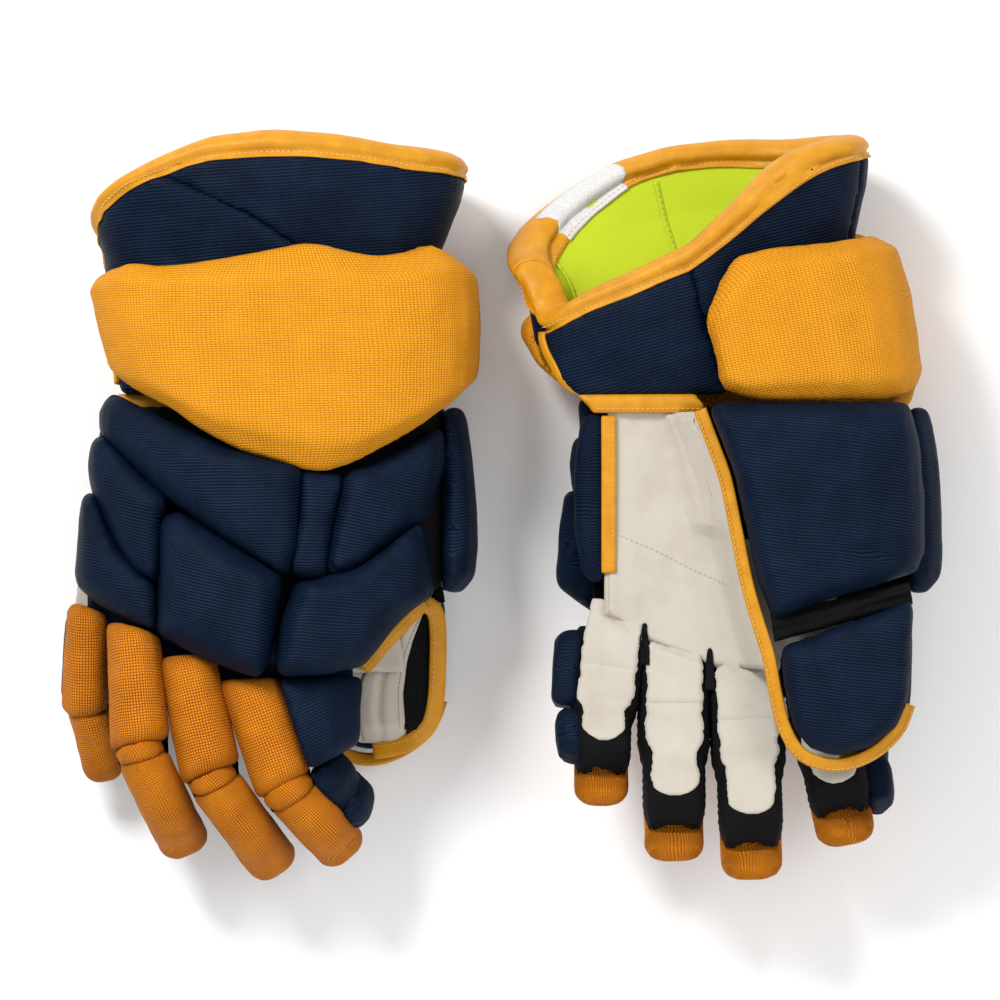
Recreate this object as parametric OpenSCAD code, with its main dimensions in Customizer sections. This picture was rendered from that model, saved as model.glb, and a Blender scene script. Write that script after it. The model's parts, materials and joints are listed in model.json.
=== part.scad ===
// A pair of ice hockey gloves lying on a table, in millimetres.
// The right glove lies palm down and the left glove palm up, fingers towards -Y.
// Each glove is drawn in its own frame: X across the hand with the thumb at +X,
// Y towards the cuff, Z from the palm (0) to the back of the hand (glove_h).

/* [Pair] */
// Distance between the centre lines of the two gloves
pair_spacing = 223; // [222:1:260]
// Thickness of a glove lying flat, from the thumb to the backhand
glove_h = 110; // [108:1:116]
// Sideways bend of the left glove at the wrist, in degrees
left_cuff_bend = 10; // [0:1:12]

/* [Padding] */
// Thickness of the backhand rolls
roll_h = 24; // [18:1:26]
// Thickness of the finger rolls at the knuckle
finger_roll_h = 24; // [18:1:26]
// Thickness of the thumb pad
thumb_h = 20; // [16:1:22]
// Thickness of the cuff padding
cuff_t = 12; // [8:1:14]

/* [Shell] */
// Height of the palm leather's outer face
palm_z = 38; // [36:1:40]
// Thickness of the palm leather and its backing
palm_t = 3; // [2:0.5:3]
// Height of a finger stall, from its palm side to its roll
stall_h = 24; // [22:1:26]
// Wall of a finger stall
stall_t = 3; // [2:0.5:3.5]
// Width of the binding tape around the cuff
binding_w = 8; // [6:0.5:9]

/* [Hidden] */
GLOVES = ["right", "left"];
FINGERS = ["pinky", "ring", "middle", "index"];
HAND_PARTS = ["backhand_rolls", "knuckle_pads", "ulnar_rolls", "backhand_base", "palm",
    "palm_binding", "wrist_roll", "cuff_roll", "cuff_palm_panel", "cuff_liner",
    "cuff_binding", "thumb_pad", "thumb_tip_pad", "thumb_sleeve"];
FINGER_PARTS = ["knuckle_roll", "tip_roll", "knuckle_stall", "tip_stall"];

NAVY = [0.09, 0.17, 0.32];
GOLD = [0.93, 0.58, 0.08];
CREAM = [0.90, 0.87, 0.80];
LIME = [0.78, 0.87, 0.20];
BLACK = [0.06, 0.06, 0.06];

// Shift that puts the origin under the middle of the pair's bounding box.
ORIGIN = [0.6, 1.1];
GAP = 0.6;              // clearance between neighbouring pads
RIM_GAP = 1.4;          // clearance between the cuff's padding and its binding
CORNER = 0.6;           // exponent that squares off the cuff's oval section
WRIST_PIVOT = [20, 50]; // centre of the left glove's sideways bend
HEEL_Y = 50;            // line of the wrist crease
BASE_Z = glove_h - 28;  // height of the backhand base at the middle of the hand

// Each finger: knuckle, middle joint and tip on the palm side, then the roll's width
// at the knuckle and at the middle joint, the slope of the knuckle line across it,
// and how far its side roll stands out at the knuckle and at the middle joint.
RIGHT_FINGERS = [
    [[-86, -48, 24], [-88, -89, 12], [-80, -128, 0], 17, 20, 0.35, 3, 3],
    [[-63.5, -62, 41], [-60, -117.5, 48], [-45, -152, 12], 22, 25.5, 0.36, 0, 0],
    [[-38, -74, 41], [-26, -130, 46], [-3, -164, 12], 24, 26, 0.16, 0, 0],
    [[-8, -83, 42], [9, -134, 44], [29, -157, 18], 26, 26, 0.31, 36, 25]];
LEFT_FINGERS = [
    [[-60, -58, 38], [-62, -95, 33], [-63, -132, 12], 28, 28, 0.4, 11, 11],
    [[-28, -74, 38], [-28, -115, 33], [-28, -161, 12], 28, 31, 0.2, 0, 0],
    [[6, -82, 38], [8, -122, 33], [9, -170, 12], 29, 32, 0, 0, 0],
    [[42, -81, 44], [48, -118, 46], [54, -153, 28], 29, 31, 0, 17, 17]];

// Wrist roll: angle round the cuff's section, lower edge and upper edge.
WRIST_ROLL = [
    [174, 66, 104], [165, 60, 109], [150, 56, 112], [135, 52, 115],
    [120, 46, 114], [108, 38, 115], [100, 32, 117], [94, 27, 119], [90, 22, 122],
    [87, 18, 125], [83, 17, 124], [77, 20, 121], [70, 25, 119], [62, 30, 119],
    [50, 37, 121], [38, 43, 124], [25, 48, 121], [10, 53, 118], [-5, 55, 117],
    [-20, 54, 118], [-35, 52, 118], [-50, 51, 118], [-65, 51, 119], [-78, 51, 120],
    [-85, 51, 119], [-88, 51.5, 110], [-89.5, 53, 100], [-90, 56, 92]];

// Height of the cuff's rim round its section, from the ulnar side over the back.
RIM = [[-180, 136], [-171, 123], [-162, 111], [-150, 108], [-135, 112], [-120, 116], [-105, 119],
    [-95, 123], [-90, 128], [-85, 138], [-78, 150], [-70, 158], [-60, 163],
    [-45, 165], [0, 167], [30, 169], [60, 171], [75, 175], [90, 178], [97, 176],
    [105, 171], [120, 163], [135, 156], [150, 149], [165, 143], [180, 136]];
// Seam between the two segments of the cuff roll: distance along Y, and X.
CUFF_SEAM = [[96, 46], [126, 20], [133, 0], [148, -20], [161, -38], [172, -50]];
RIM_STEP = 9;
CUFF_ROWS = 5;

// Edge of the thumb's binding beside the palm: distance along Y, and X.
THUMB_EDGE = [[-50, 14], [-35, 7], [-10, 1], [15, -4], [30, -10], [45, -16]];
// Line of the finger roots on the palm side: distance along X, and Y.
RIGHT_ROOTS = [[-67, -58], [-63, -59.5], [-38, -71.5], [-24, -77], [-9, -79.5], [10, -80.5]];
LEFT_ROOTS = [[-67, -52], [-55, -56.5], [-45, -63], [-28, -71], [-8, -78], [10, -79.5]];

// ---------------------------------------------------------------- geometry helpers

function clamp01(t) = max(0, min(1, t));
function smooth(t) = let (c = clamp01(t)) c * c * (3 - 2 * c);
function mix(a, b, t) = a + (b - a) * t;
function unit(v) = v / norm(v);
function squared(c) = sign(c) * pow(abs(c), CORNER);
function steps(n) = [for (i = [0:n]) i / n];
function total(v) = v * [for (x = v) 1];
// A section of the cuff: centre x, half width, centre z and half height.
function oval(s, u) = [s[0] + s[1] * squared(cos(u)), s[2] + s[3] * squared(sin(u))];

// The left glove bends and steps over at the wrist, and its little-finger side is narrower.
function bend(p) =
    let (a = left_cuff_bend * smooth((p.y - HEEL_Y + 2) / 50),
        step = left_cuff_bend * smooth((p.y - HEEL_Y + 4) / 16),
        d = [p.x - WRIST_PIVOT.x, p.y - WRIST_PIVOT.y],
        narrow = 8 * smooth((-40 - p.x) / 45) * (1 - smooth((p.y - 40) / 30))
            * smooth((p.y + 64) / 6))
    [WRIST_PIVOT.x + d.x * cos(a) - d.y * sin(a) + narrow - step,
        WRIST_PIVOT.y + d.x * sin(a) + d.y * cos(a), p.z];
// A point of a glove's own frame, in the pair's frame.
function place(p, left) =
    let (q = left ? bend(p) : p, side = left ? 1 : -1)
    [q.x + side * pair_spacing / 2 + ORIGIN.x, q.y + ORIGIN.y, left ? glove_h - q.z : q.z];

// A closed solid from points and triangles, turned right side out.
module solid(points, faces) {
    volume = total([for (f = faces) points[f[0]] * cross(points[f[1]], points[f[2]])]);
    polyhedron(points, volume > 0 ? [for (f = faces) [f[2], f[1], f[0]]] : faces,
        convexity = 8);
}

function quad(a, b, c, d) = [[a, b, c], [a, c, d]];

// The wall between an outer and an inner grid of points of the same size.
module wall(outer, inner, left) {
    rows = len(outer);
    cols = len(outer[0]);
    count = rows * cols;
    points = [for (grid = [outer, inner], row = grid, p = row) place(p, left)];
    sheets = [for (i = [0:rows - 2], j = [0:cols - 2])
        let (a = i * cols + j, b = a + 1, c = a + cols + 1, d = a + cols)
        each concat(quad(a, b, c, d),
            quad(count + a, count + d, count + c, count + b))];
    ends = [for (i = [0, rows - 1], j = [0:cols - 2])
        let (a = i * cols + j, b = a + 1)
        each i == 0 ? quad(a, count + a, count + b, b)
            : quad(a, b, count + b, count + a)];
    sides = [for (i = [0:rows - 2], j = [0, cols - 1])
        let (a = i * cols + j, d = a + cols)
        each j == 0 ? quad(a, d, count + d, count + a)
            : quad(a, count + a, count + d, d)];
    solid(points, concat(sheets, ends, sides));
}

// A solid swept through closed rings of points, capped at both ends unless it closes.
module tube(rings, left, closed = false) {
    n = len(rings);
    m = len(rings[0]);
    points = [for (ring = rings, p = ring) place(p, left)];
    sides = [for (i = [0:closed ? n - 1 : n - 2], j = [0:m - 1])
        let (a = i * m + j, b = i * m + (j + 1) % m, d = ((i + 1) % n) * m + j,
            c = ((i + 1) % n) * m + (j + 1) % m)
        each quad(a, b, c, d)];
    caps = closed ? [] : [for (j = [1:m - 2])
        each [[0, j + 1, j], [(n - 1) * m, (n - 1) * m + j, (n - 1) * m + j + 1]]];
    solid(points, concat(sides, caps));
}

// A pad with a plan outline, on a base surface, with rounded shoulders and a crown.
// thickness is negative for a pad that grows towards -Z.
module pad(outline, thickness, inset, base, left) {
    n = len(outline);
    middle = [for (k = [0, 1]) total([for (p = outline) p[k]]) / n];
    function toward(p, d) = middle + (p - middle) * (1 - d / norm(p - middle));
    function half(p) = mix(middle, p, 0.5);
    function at(p, share) =
        let (z = base(p) + thickness * share)
        [p.x, p.y, thickness > 0 ? min(z, glove_h) : max(z, 0)];
    loops = [
        [for (p = outline) at(half(p), 0)],
        [for (p = outline) at(toward(p, inset / 3), 0)],
        [for (p = outline) at(p, 0.4)],
        [for (p = outline) at(toward(p, inset / 3), 0.75)],
        [for (p = outline) at(toward(p, inset), 0.95)],
        [for (p = outline) at(half(p), 1)]];
    last = len(loops) - 1;
    points = [for (p = concat([at(middle, 0)], [for (l = loops, q = l) q], [at(middle, 1)]))
        place(p, left)];
    top = len(points) - 1;
    sides = [for (i = [0:last - 1], j = [0:n - 1])
        let (a = 1 + i * n + j, b = 1 + i * n + (j + 1) % n)
        each quad(a, b, b + n, a + n)];
    fans = [for (j = [0:n - 1])
        let (b = (j + 1) % n)
        each [[0, 1 + b, 1 + j], [top, 1 + last * n + j, 1 + last * n + b]]];
    solid(points, concat(sides, fans));
}

// ---------------------------------------------------------------- back of the hand

// Base surface of the backhand, which falls away towards both sides.
back = function(p) BASE_Z - 26 * pow((p.x - 5) / 90, 2);

// The wrist roll's lower edge above a point of the backhand.
function roll_edge(x) = lookup(x, [[-88, 66], [-78, 56], [-70, 52], [-56, 45], [-40, 37],
    [-26, 31], [-12, 26], [7, 21], [23, 17], [34, 16], [46, 19], [57, 24], [67, 29],
    [80, 36], [89, 42], [97, 47]]) - GAP - 0.6;
function under_roll(xs) = [for (x = xs) [x, roll_edge(x)]];

module backhand_rolls(left) {
    color(NAVY) {
        pad(concat([[-79, 36], [-60, 16], [-40, -1], [-14, -18], [10, -32], [14, -20]],
            under_roll([17, 0, -20, -40, -58, -74]), [[-79, 46]]), roll_h, 6, back, left);
        pad(concat([[13, -32], [21, -35], [28, -33], [32, -8]], under_roll([36.5, 28, 18.5]),
            [[16, -6]]), roll_h - 6, 3, back, left);
        pad(concat([[30, -33], [45, -27], [60, -17], [76, -4], [81, 10], [84, 24]],
            under_roll([83, 70, 56, 46, 38.5]), [[33, -12]]), roll_h, 6, back, left);
    }
}

module knuckle_pads(left) {
    color(NAVY) {
        pad([[-49, -6], [-42, -3.5], [-15, -20], [7, -34], [4, -52], [1, -72], [-3, -81],
            [-26, -72.5], [-51, -60], [-50, -32]], roll_h + 5, 8, back, left);
        pad([[15, -37], [22, -37], [45, -29], [60, -19], [74, -8], [77, -24], [79, -42],
            [68, -49], [57, -61], [46, -75], [28, -79], [6, -80], [8, -58]],
            roll_h + 5, 8, back, left);
        radial_side_roll(left);
    }
}

// Upright pad along the thumb side of the hand: distance along Y and outermost X.
RADIAL_EDGE = [[46, 92], [40, 94], [20, 97], [0, 98.5], [-20, 99], [-33, 98], [-40, 92]];

module radial_side_roll(left) {
    foot = palm_z - 3;
    tube([for (s = RADIAL_EDGE)
        let (x = s[1], y = s[0], pinch = y > 44 || y < -38 ? 3 : 0)
        [[85.5, y, foot + pinch], [x - 6, y, foot + pinch], [x, y, foot + 8],
            [x, y, 56], [x - 4, y, 66 - pinch], [x - 9, y, 70 - pinch], [85.5, y, 66 - pinch]]],
        left);
}

module ulnar_rolls(left) {
    color(NAVY) {
        pad([[-80, 34], [-62, 16], [-47, 2], [-50.5, -6], [-52, -36], [-60, -32], [-70, -19],
            [-79, -2], [-83, 8], [-84.5, 20], [-83, 30]], roll_h, 5, back, left);
        pad([[-84, 7], [-80, -4], [-71, -21], [-61, -34], [-53, -39], [-53, -58], [-66, -53],
            [-80, -46], [-90, -38], [-91, -32], [-89, -8], [-87, 5]], roll_h, 5, back, left);
        ulnar_edge_roll(left);
    }
}

// Upright pad along the little-finger side of the hand.
ULNAR_EDGE = [[43, -76], [39, -79], [20, -82], [-10, -82], [-30, -79], [-35, -74]];

module ulnar_edge_roll(left) {
    top = back([-82, 0]) - 2;
    foot = palm_z - 2;
    tube([for (s = ULNAR_EDGE)
        let (y = s[0], x = s[1])
        [[-69.5, y, foot + 2], [x + 4, y, foot], [x, y, foot + 6], [x, y, top - 4],
            [x + 4, y, top], [-69.5, y, top]]], left);
}

// Foam board that the backhand rolls are sewn to.
BOARD_END = [[-74, -46], [-50, -58], [-25, -70], [0, -78], [50, -76], [62, -54], [82, -38]];
BOARD_T = 4;

module backhand_base(left) {
    function grid(drop) = [for (x = [-74, -60, -40, -20, 0, 20, 40, 60, 74, 84])
        [for (t = steps(3))
            let (p = [x, mix(HEEL_Y - 2, lookup(x, BOARD_END), t)])
            [p.x, p.y, back(p) - drop]]];
    color(BLACK) wall(grid(2 * GAP), grid(2 * GAP + BOARD_T), left);
}

// ---------------------------------------------------------------- palm

module palm(left) {
    web = -22;
    bottom = -58;
    function edge(y) = y > web ? lookup(y, THUMB_EDGE) - 4
        : lookup(y, [[bottom, 66], [-48, 64], [-36, 50], [web, 24]]);
    function grid(lift) = [for (row = [43, 28, 10, -10, web, -36, -48, bottom])
        [for (t = [0, 0.2, 0.45, 0.7, 0.86, 1])
            let (x = mix(-67, edge(row), t), root = lookup(x, left ? LEFT_ROOTS : RIGHT_ROOTS),
                y = row < web ? mix(web, root, (row - web) / (bottom - web)) : row,
                dip = row > web ? 15 * smooth((t - 0.7) / 0.3) : 0,
                cup = 3 * sin(180 * t))
            [x, y, palm_z + cup - dip + lift]]];
    color(CREAM) wall(grid(0), grid(palm_t), left);
}

module palm_binding(left) {
    strip_z = palm_z - 2.6;
    heel = [for (x = [-73, -60, -40, -25, -13])
        [for (c = [[44.6, 0], [44.6, -3], [HEEL_Y, -4.5], [HEEL_Y + 4, -3], [HEEL_Y + 4, 0]])
            [x, c[0], palm_z + c[1]]]];
    edge = [for (y = [43.6, 20, -10, -32])
        [for (c = [[-69, 0], [-69, 2], [-58.5, 2], [-58.5, 0]])
            [c[0], y, strip_z + c[1]]]];
    color(GOLD) {
        tube(heel, left);
        tube(edge, left);
    }
}

// ---------------------------------------------------------------- cuff

ROLL_OUTER = [7, 95, glove_h / 2, glove_h / 2 + 2];
ROLL_INNER = [3, 81, glove_h / 2, glove_h / 2 - 20];
// How far the little-finger side of the wrist roll is drawn in towards the hand.
ROLL_TAPER = 12;
function taper(x, y, outer) =
    ROLL_TAPER * smooth(-x / 80) * clamp01(outer ? (107 - y) / 45 : (70 - y) / 20);
CUFF_Z = 52;

// The rim runs straight between the rings of its binding, which are RIM_STEP apart.
function rim(u) =
    let (low = RIM_STEP * floor(u / RIM_STEP), share = (u - low) / RIM_STEP)
    mix(rim_ring(low), rim_ring(low + RIM_STEP), share);
function rim_ring(u) = lookup(u > 180 ? u - 360 : u, RIM);
// The angles of the rings between two angles, with the two ends.
function rim_angles(a, b) =
    concat([a], [for (u = [RIM_STEP * ceil((a + 2) / RIM_STEP):RIM_STEP:b - 2]) u], [b]);
// Outer section of the cuff at a distance along Y, or of a layer that lies inside it.
function cuff_section(y, layer) =
    let (flare = clamp01((y - 119) / 34), waist = clamp01((119 - y) / 66))
    [2, mix(78.5, 92, flare) - layer, CUFF_Z + 3 - 3 * flare + 6 * waist,
        mix(32.5, 48, flare) - 6 * waist - layer];
// The section is a polygon with its corners at the binding's rings.
function cuff_point(u, y, layer) =
    let (low = RIM_STEP * floor(u / RIM_STEP), s = cuff_section(y, layer),
        p = mix(oval(s, low), oval(s, low + RIM_STEP), (u - low) / RIM_STEP))
    [p.x, y, p.y];

module wrist_roll(left) {
    shoulder = [0, 0.12, 0.5, 0.88, 1];
    rise = [0.45, 0.92, 1, 0.92, 0.45];
    function grid(outer) = [for (s = WRIST_ROLL)
        [for (k = [0:4])
            let (o = oval(ROLL_OUTER, s[0]), i = oval(ROLL_INNER, s[0]),
                end = s[0] < -89.8 || s[0] > 170 ? 0.75 : 1,
                p = mix(i, o, outer ? rise[k] * end : 0),
                y = mix(s[1], s[2], shoulder[k]))
            [p.x + taper(p.x, y, outer), y, max(0, min(glove_h, p.y))]]];
    color(GOLD) wall(grid(true), grid(false), left);
}

// Angle round the section at which the cuff has a given X on its dorsal side.
function dorsal_angle(x, y) =
    let (s = cuff_section(y, 0), c = (x - s[0]) / s[1]) acos(sign(c) * pow(abs(c), 1 / CORNER));

// One segment of cuff padding. angles gives the columns of the row at a distance along Y.
module cuff_segment(angles, low, thickness, left) {
    function grid(layer) = [for (t = steps(CUFF_ROWS))
        [for (k = [0:len(angles(low)) - 1])
            let (guess = mix(low, rim(angles(low)[k]), t), u = angles(guess)[k])
            cuff_point(u, mix(low, rim(u) - binding_w - RIM_GAP, t), layer)]];
    color(NAVY) wall(grid(0), grid(thickness), left);
}

CUFF_LOW = 94; // where the cuff padding starts under the wrist roll
module cuff_roll(left) {
    seam = function(y) dorsal_angle(lookup(y, CUFF_SEAM), y);
    ulnar = rim_angles(124, 188);
    radial = rim_angles(-18, 56);
    cuff_segment(function(y) concat([for (k = [0:0.25:0.9]) mix(seam(y) + 0.6, 124, k)], ulnar),
        CUFF_LOW, cuff_t, left);
    cuff_segment(function(y) concat(radial, [for (k = [0.25:0.25:1]) mix(56, seam(y) - 0.6, k)]),
        CUFF_LOW, cuff_t, left);
}

module cuff_palm_panel(left) {
    thin = cuff_t - 3;
    foot = HEEL_Y + 5;
    from = -171.2;
    to = -90.6;
    function panel(layer) = [for (t = steps(CUFF_ROWS))
        [for (u = rim_angles(from, to))
            let (k = (u - from) / (to - from), belly = 3 * sin(180 * t),
                top = cuff_point(u, rim(u) - binding_w - RIM_GAP, layer),
                low = [mix(-71, 4, k), foot, palm_z + layer - 3])
            mix(low, top, t) - [0, 0, belly]]];
    color(NAVY) wall(panel(0), panel(thin), left);
    cuff_segment(function(y) rim_angles(-90, -19.5), CUFF_LOW, thin, left);
}

module cuff_liner(left) {
    skin = 2.5;
    function grid(layer) = [for (t = steps(CUFF_ROWS))
        [for (u = rim_angles(-179, 179))
            cuff_point(u, mix(60, rim(u) - binding_w - RIM_GAP, t), layer)]];
    color(LIME) wall(grid(cuff_t + 2 * GAP), grid(cuff_t + 2 * GAP + skin), left);
}

module cuff_binding(left) {
    deep = cuff_t + 5;
    rings = [for (u = [-180:RIM_STEP:180 - RIM_STEP])
        let (y = rim(u))
        [cuff_point(u, y - binding_w, -1), cuff_point(u, y - 2, -1),
            cuff_point(u, y, deep / 3), cuff_point(u, y, deep * 2 / 3),
            cuff_point(u, y - 2, deep), cuff_point(u, y - binding_w, deep)]];
    color(GOLD) tube(rings, left, closed = true);
}

// ---------------------------------------------------------------- thumb

thumb_base = function(p) thumb_h + 12 * smooth((p.x - 62) / 28);
tip_base = function(p) thumb_h - 4;
THUMB_PAD = [[-11, 48.5], [20, 49], [55, 49], [84, 49], [88, 30], [90, 5], [90.5, -20],
    [87, -31], [60, -39], [35, -47], [19, -53], [12, -36], [6, -10], [1, 14], [-5, 31]];
THUMB_TIP = [[22.5, -67], [40, -61.5], [62, -54], [84, -45], [83.5, -70], [82, -92],
    [76, -105], [64, -114], [49, -118], [37, -115], [29, -106], [25, -90]];

module thumb_pad(left) {
    color(NAVY) pad(THUMB_PAD, -thumb_h, 7, thumb_base, left);
}

module thumb_tip_pad(left) {
    color(NAVY) pad(THUMB_TIP, -(thumb_h - 4), 6, tip_base, left);
}

// Leather stall of the thumb: a channel over the tip pad that closes at its nose.
module thumb_sleeve(left) {
    t = 2.5;
    foot = thumb_h - 3.4;
    sections = [[[23, -68], [83, -46], 33], [[25, -85], [82, -70], 33],
        [[27, -98], [80, -90], 33], [[32, -108], [76, -102], 31],
        [[40, -113], [70, -109], 25], [[46, -115.5], [63, -113], foot + 3]];
    function grid(inside) = [for (s = sections)
        let (a = s[0], b = s[1], w = inside ? t : 0, top = s[2] - (inside ? t : 0))
        [[a.x + w, a.y, foot], [a.x + w, a.y, top], [b.x - w, b.y, top], [b.x - w, b.y, foot]]];
    color(CREAM) wall(grid(false), grid(true), left);
}

// ---------------------------------------------------------------- fingers

function finger(i, left) = (left ? LEFT_FINGERS : RIGHT_FINGERS)[i];
function plan(v) = [v.x, v.y] / norm([v.x, v.y]);
// A point on a finger's segment: across towards the thumb, along to the tip, and up.
function on_finger(f, tip, p) =
    let (from = tip ? f[1] : f[0], to = tip ? f[2] : f[1], e = unit(to - from),
        b = unit(cross([0, 0, 1], e)), n = cross(e, b))
    from + b * p.x + e * p.y + n * p.z;
function segment_length(f, tip) = norm(tip ? f[2] - f[1] : f[1] - f[0]);
// Slope of the cut between a finger's two segments, which halves the bend in plan.
function mitre(f) =
    let (a = plan(f[1] - f[0]), b = plan(f[2] - f[1])) cross(a, b) / (1 + a * b);
function roll_half(f, t) = mix(f[3], f[4], t) / 2;
function tip_half(f) = 0.42 * f[4];
function stall_half(f, t) = roll_half(f, t) - 1.5;
// Distance along a first segment, from its cut at the knuckle (0) to the next one (1).
function along_first(f, start, slope, x, t) =
    mix(start + slope * x, segment_length(f, false) - GAP - mitre(f) * x, t);
function along_tip(f, x, y) = y + mitre(f) * x * max(0, 1 - y / 20);
function slope_down(v) = atan2(-v.z, norm([v.x, v.y]));
// How far a roll's start leans back at a height above the palm side, so that it is upright.
function lean(f, z, t) = z * tan(max(0, slope_down(f[1] - f[0]))) * max(0, 1 - t / 0.3);
// How many degrees the tip hangs down from the first segment.
function droop(f) = slope_down(f[2] - f[1]) - slope_down(f[1] - f[0]);
// A point of a section that is swung back about the middle joint, over the knuckle.
function swung(f, q, angle) =
    on_finger(f, true, [q.x, along_tip(f, q.x, 0) - q.y * sin(angle), q.y * cos(angle)]);

// Eight-sided section of a roll between two edges, from a floor to a crown.
function roll_section(a, b, floor, h) =
    [[a, floor], [a - 0.4, floor + 0.5 * h], [mix(a, b, 0.1), floor + 0.85 * h],
        [mix(a, b, 0.28), floor + h], [mix(a, b, 0.72), floor + h],
        [mix(a, b, 0.9), floor + 0.85 * h], [b + 0.4, floor + 0.5 * h], [b, floor]];
// Five-sided section of a side roll that lies against a finger at x = a.
function side_section(a, b, floor, h) =
    [[a, floor], [a, floor + h], [mix(a, b, 0.5), floor + 0.94 * h],
        [b, floor + 0.55 * h], [mix(a, b, 0.93), floor]];

ROLL_FLOOR = stall_h + 0.4;
// Share of a first segment's length, and how thick its roll is there.
ROLL_SHAPE = [[0, 0.86], [0.07, 1], [0.5, 1.04], [0.93, 1], [1, 0.86]];

// The little finger's rolls are thinner than the others'.
function finger_h(i) = finger_roll_h * (i == 0 ? 0.8 : 1);

module knuckle_roll(i, left) {
    f = finger(i, left);
    color(GOLD) tube([for (e = ROLL_SHAPE)
        let (w = roll_half(f, e[0]))
        [for (q = roll_section(-w, w, ROLL_FLOOR, finger_h(i) * e[1]))
            let (y = along_first(f, 2, f[5], q.x, e[0]) - lean(f, q.y, e[0]))
            on_finger(f, false, [q.x, y, q.y])]], left);
    if (i == 0) color(NAVY) tube([for (e = ROLL_SHAPE)
        let (w = stall_half(f, e[0]) + GAP, out = w + mix(f[6], f[7], e[0]))
        [for (q = side_section(w, out, 1, (stall_h - 3) * e[1]))
            on_finger(f, false, [-q.x, along_first(f, 3, 0, -q.x, e[0]), q.y])]], left);
    if (i == 3) color(NAVY) tube([for (e = ROLL_SHAPE)
        let (w = roll_half(f, e[0]) + 1.6, out = w + mix(f[6], f[7], e[0]))
        [for (q = side_section(w, out, ROLL_FLOOR - 8, (finger_roll_h + 10) * e[1]))
            on_finger(f, false, [q.x, along_first(f, 2, f[5], q.x, e[0]), q.y])]], left);
}

// Outer roll of a fingertip: straight, then curled down over the end of the stall.
TIP_CAP = 11;
TIP_RADIUS = 7;
// Angle of the curl, and how thick and how wide the roll is there.
TIP_CURL = [[0, 1, 1], [25, 1, 1], [50, 0.98, 0.98], [72, 0.9, 0.93]];
// Degrees of the droop that the fold band between two rolls takes up.
FOLD = 13;
// Share of the fold band's angle, and how thick it is there.
FOLD_SHAPE = [[0.06, 0.9], [0.3, 0.98], [0.7, 0.98], [0.94, 0.9]];
// Share of the straight length, and how wide and thick the side roll is there.
TIP_SIDE = [[0.04, 0.85], [0.15, 1], [0.6, 0.95], [0.94, 0.8]];

module tip_roll(i, left) {
    f = finger(i, left);
    w = tip_half(f);
    hub = segment_length(f, true) - TIP_CAP - TIP_RADIUS;
    function thickness(share) = mix(finger_h(i) - 2, TIP_CAP, share * share);
    over = max(0, droop(f) - FOLD);
    back_rows = over == 0 ? [] : [for (s = [[over, 0.9], [over - 3, 1], [over / 2, 1]])
        [for (q = roll_section(-w, w, ROLL_FLOOR, (finger_h(i) - 2) * s[1])) swung(f, q, s[0])]];
    straight = [for (s = [[GAP, over == 0 ? 0.9 : 1], [3, 1], [hub * 0.5, 1]])
        [for (q = roll_section(-w, w, ROLL_FLOOR, thickness(s[0] / hub) * s[1]))
            on_finger(f, true, [q.x, along_tip(f, q.x, s[0]), q.y])]];
    curl = [for (s = TIP_CURL)
        [for (q = roll_section(-w, w, TIP_RADIUS, TIP_CAP * s[1]))
            on_finger(f, true, [q.x * s[2], hub + q.y * sin(s[0]),
                ROLL_FLOOR - TIP_RADIUS + q.y * cos(s[0])])]];
    color(GOLD) tube(concat(back_rows, straight, curl), left);
    if (over > 0) color(GOLD) tube([for (s = FOLD_SHAPE)
        [for (q = roll_section(-w, w, ROLL_FLOOR, finger_h(i) * s[1]))
            swung(f, q, over + FOLD * s[0])]], left);
    if (i == 0) color(NAVY) tube([for (s = TIP_SIDE)
        let (a = w - 1.5 + GAP)
        [for (q = side_section(a, a + f[7] * s[1], 3, (stall_h - 5) * s[1]))
            on_finger(f, true, [-q.x, along_tip(f, -q.x, hub * s[0]), q.y])]], left);
    if (i == 3) color(NAVY) tube(concat(
        [for (angle = [droop(f) - 5, droop(f) / 2])
            [for (q = side_section(w + 1.6, w + 1.6 + 0.7 * f[7], 16, 26)) swung(f, q, angle)]],
        [for (s = TIP_SIDE)
            let (a = w + 1.6)
            [for (q = side_section(a, a + 0.7 * f[7] * s[1], 14, 26 * s[1]))
                on_finger(f, true, [q.x, along_tip(f, q.x, hub * s[0]), q.y])]]), left);
}

// A finger stall: a channel that is open towards the roll and to the hand. Each row
// has its place along the segment at both edges, its half width and its lowest height.
module stall(f, tip, rows, left) {
    function grid(t) = [for (r = rows)
        let (w = r[2] - t, low = r[3] + t, bend = min(4, stall_h - low - 1))
        [for (q = [[-w, stall_h], [-w, low + bend], [-w + 4, low], [w - 4, low],
            [w, low + bend], [w, stall_h]])
            on_finger(f, tip, [q.x, mix(r[0], r[1], 0.5 + q.x / r[2] / 2), q.y])]];
    color(BLACK) wall(grid(0), grid(stall_t), left);
}

module knuckle_stall(i, left) {
    f = finger(i, left);
    stall(f, false, [for (t = steps(3))
        let (w = stall_half(f, t))
        [along_first(f, 1, f[5], -w, t), along_first(f, 1, f[5], w, t), w, 0]], left);
}

// Share of a tip stall's length, and how far its floor has risen towards the nose.
NOSE = [[0, 0], [0.55, 0], [0.85, 0.15], [1, 0.65]];

module tip_stall(i, left) {
    f = finger(i, left);
    w = tip_half(f) - 1.5;
    long = segment_length(f, true) - TIP_CAP - 5.5;
    stall(f, true, [for (s = NOSE)
        let (y = mix(GAP / 2, long, s[0]))
        [along_tip(f, -w, y), along_tip(f, w, y), w * (1 - 0.15 * s[1]), s[1] * stall_h]],
        left);
}

// ---------------------------------------------------------------- nodes

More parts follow.
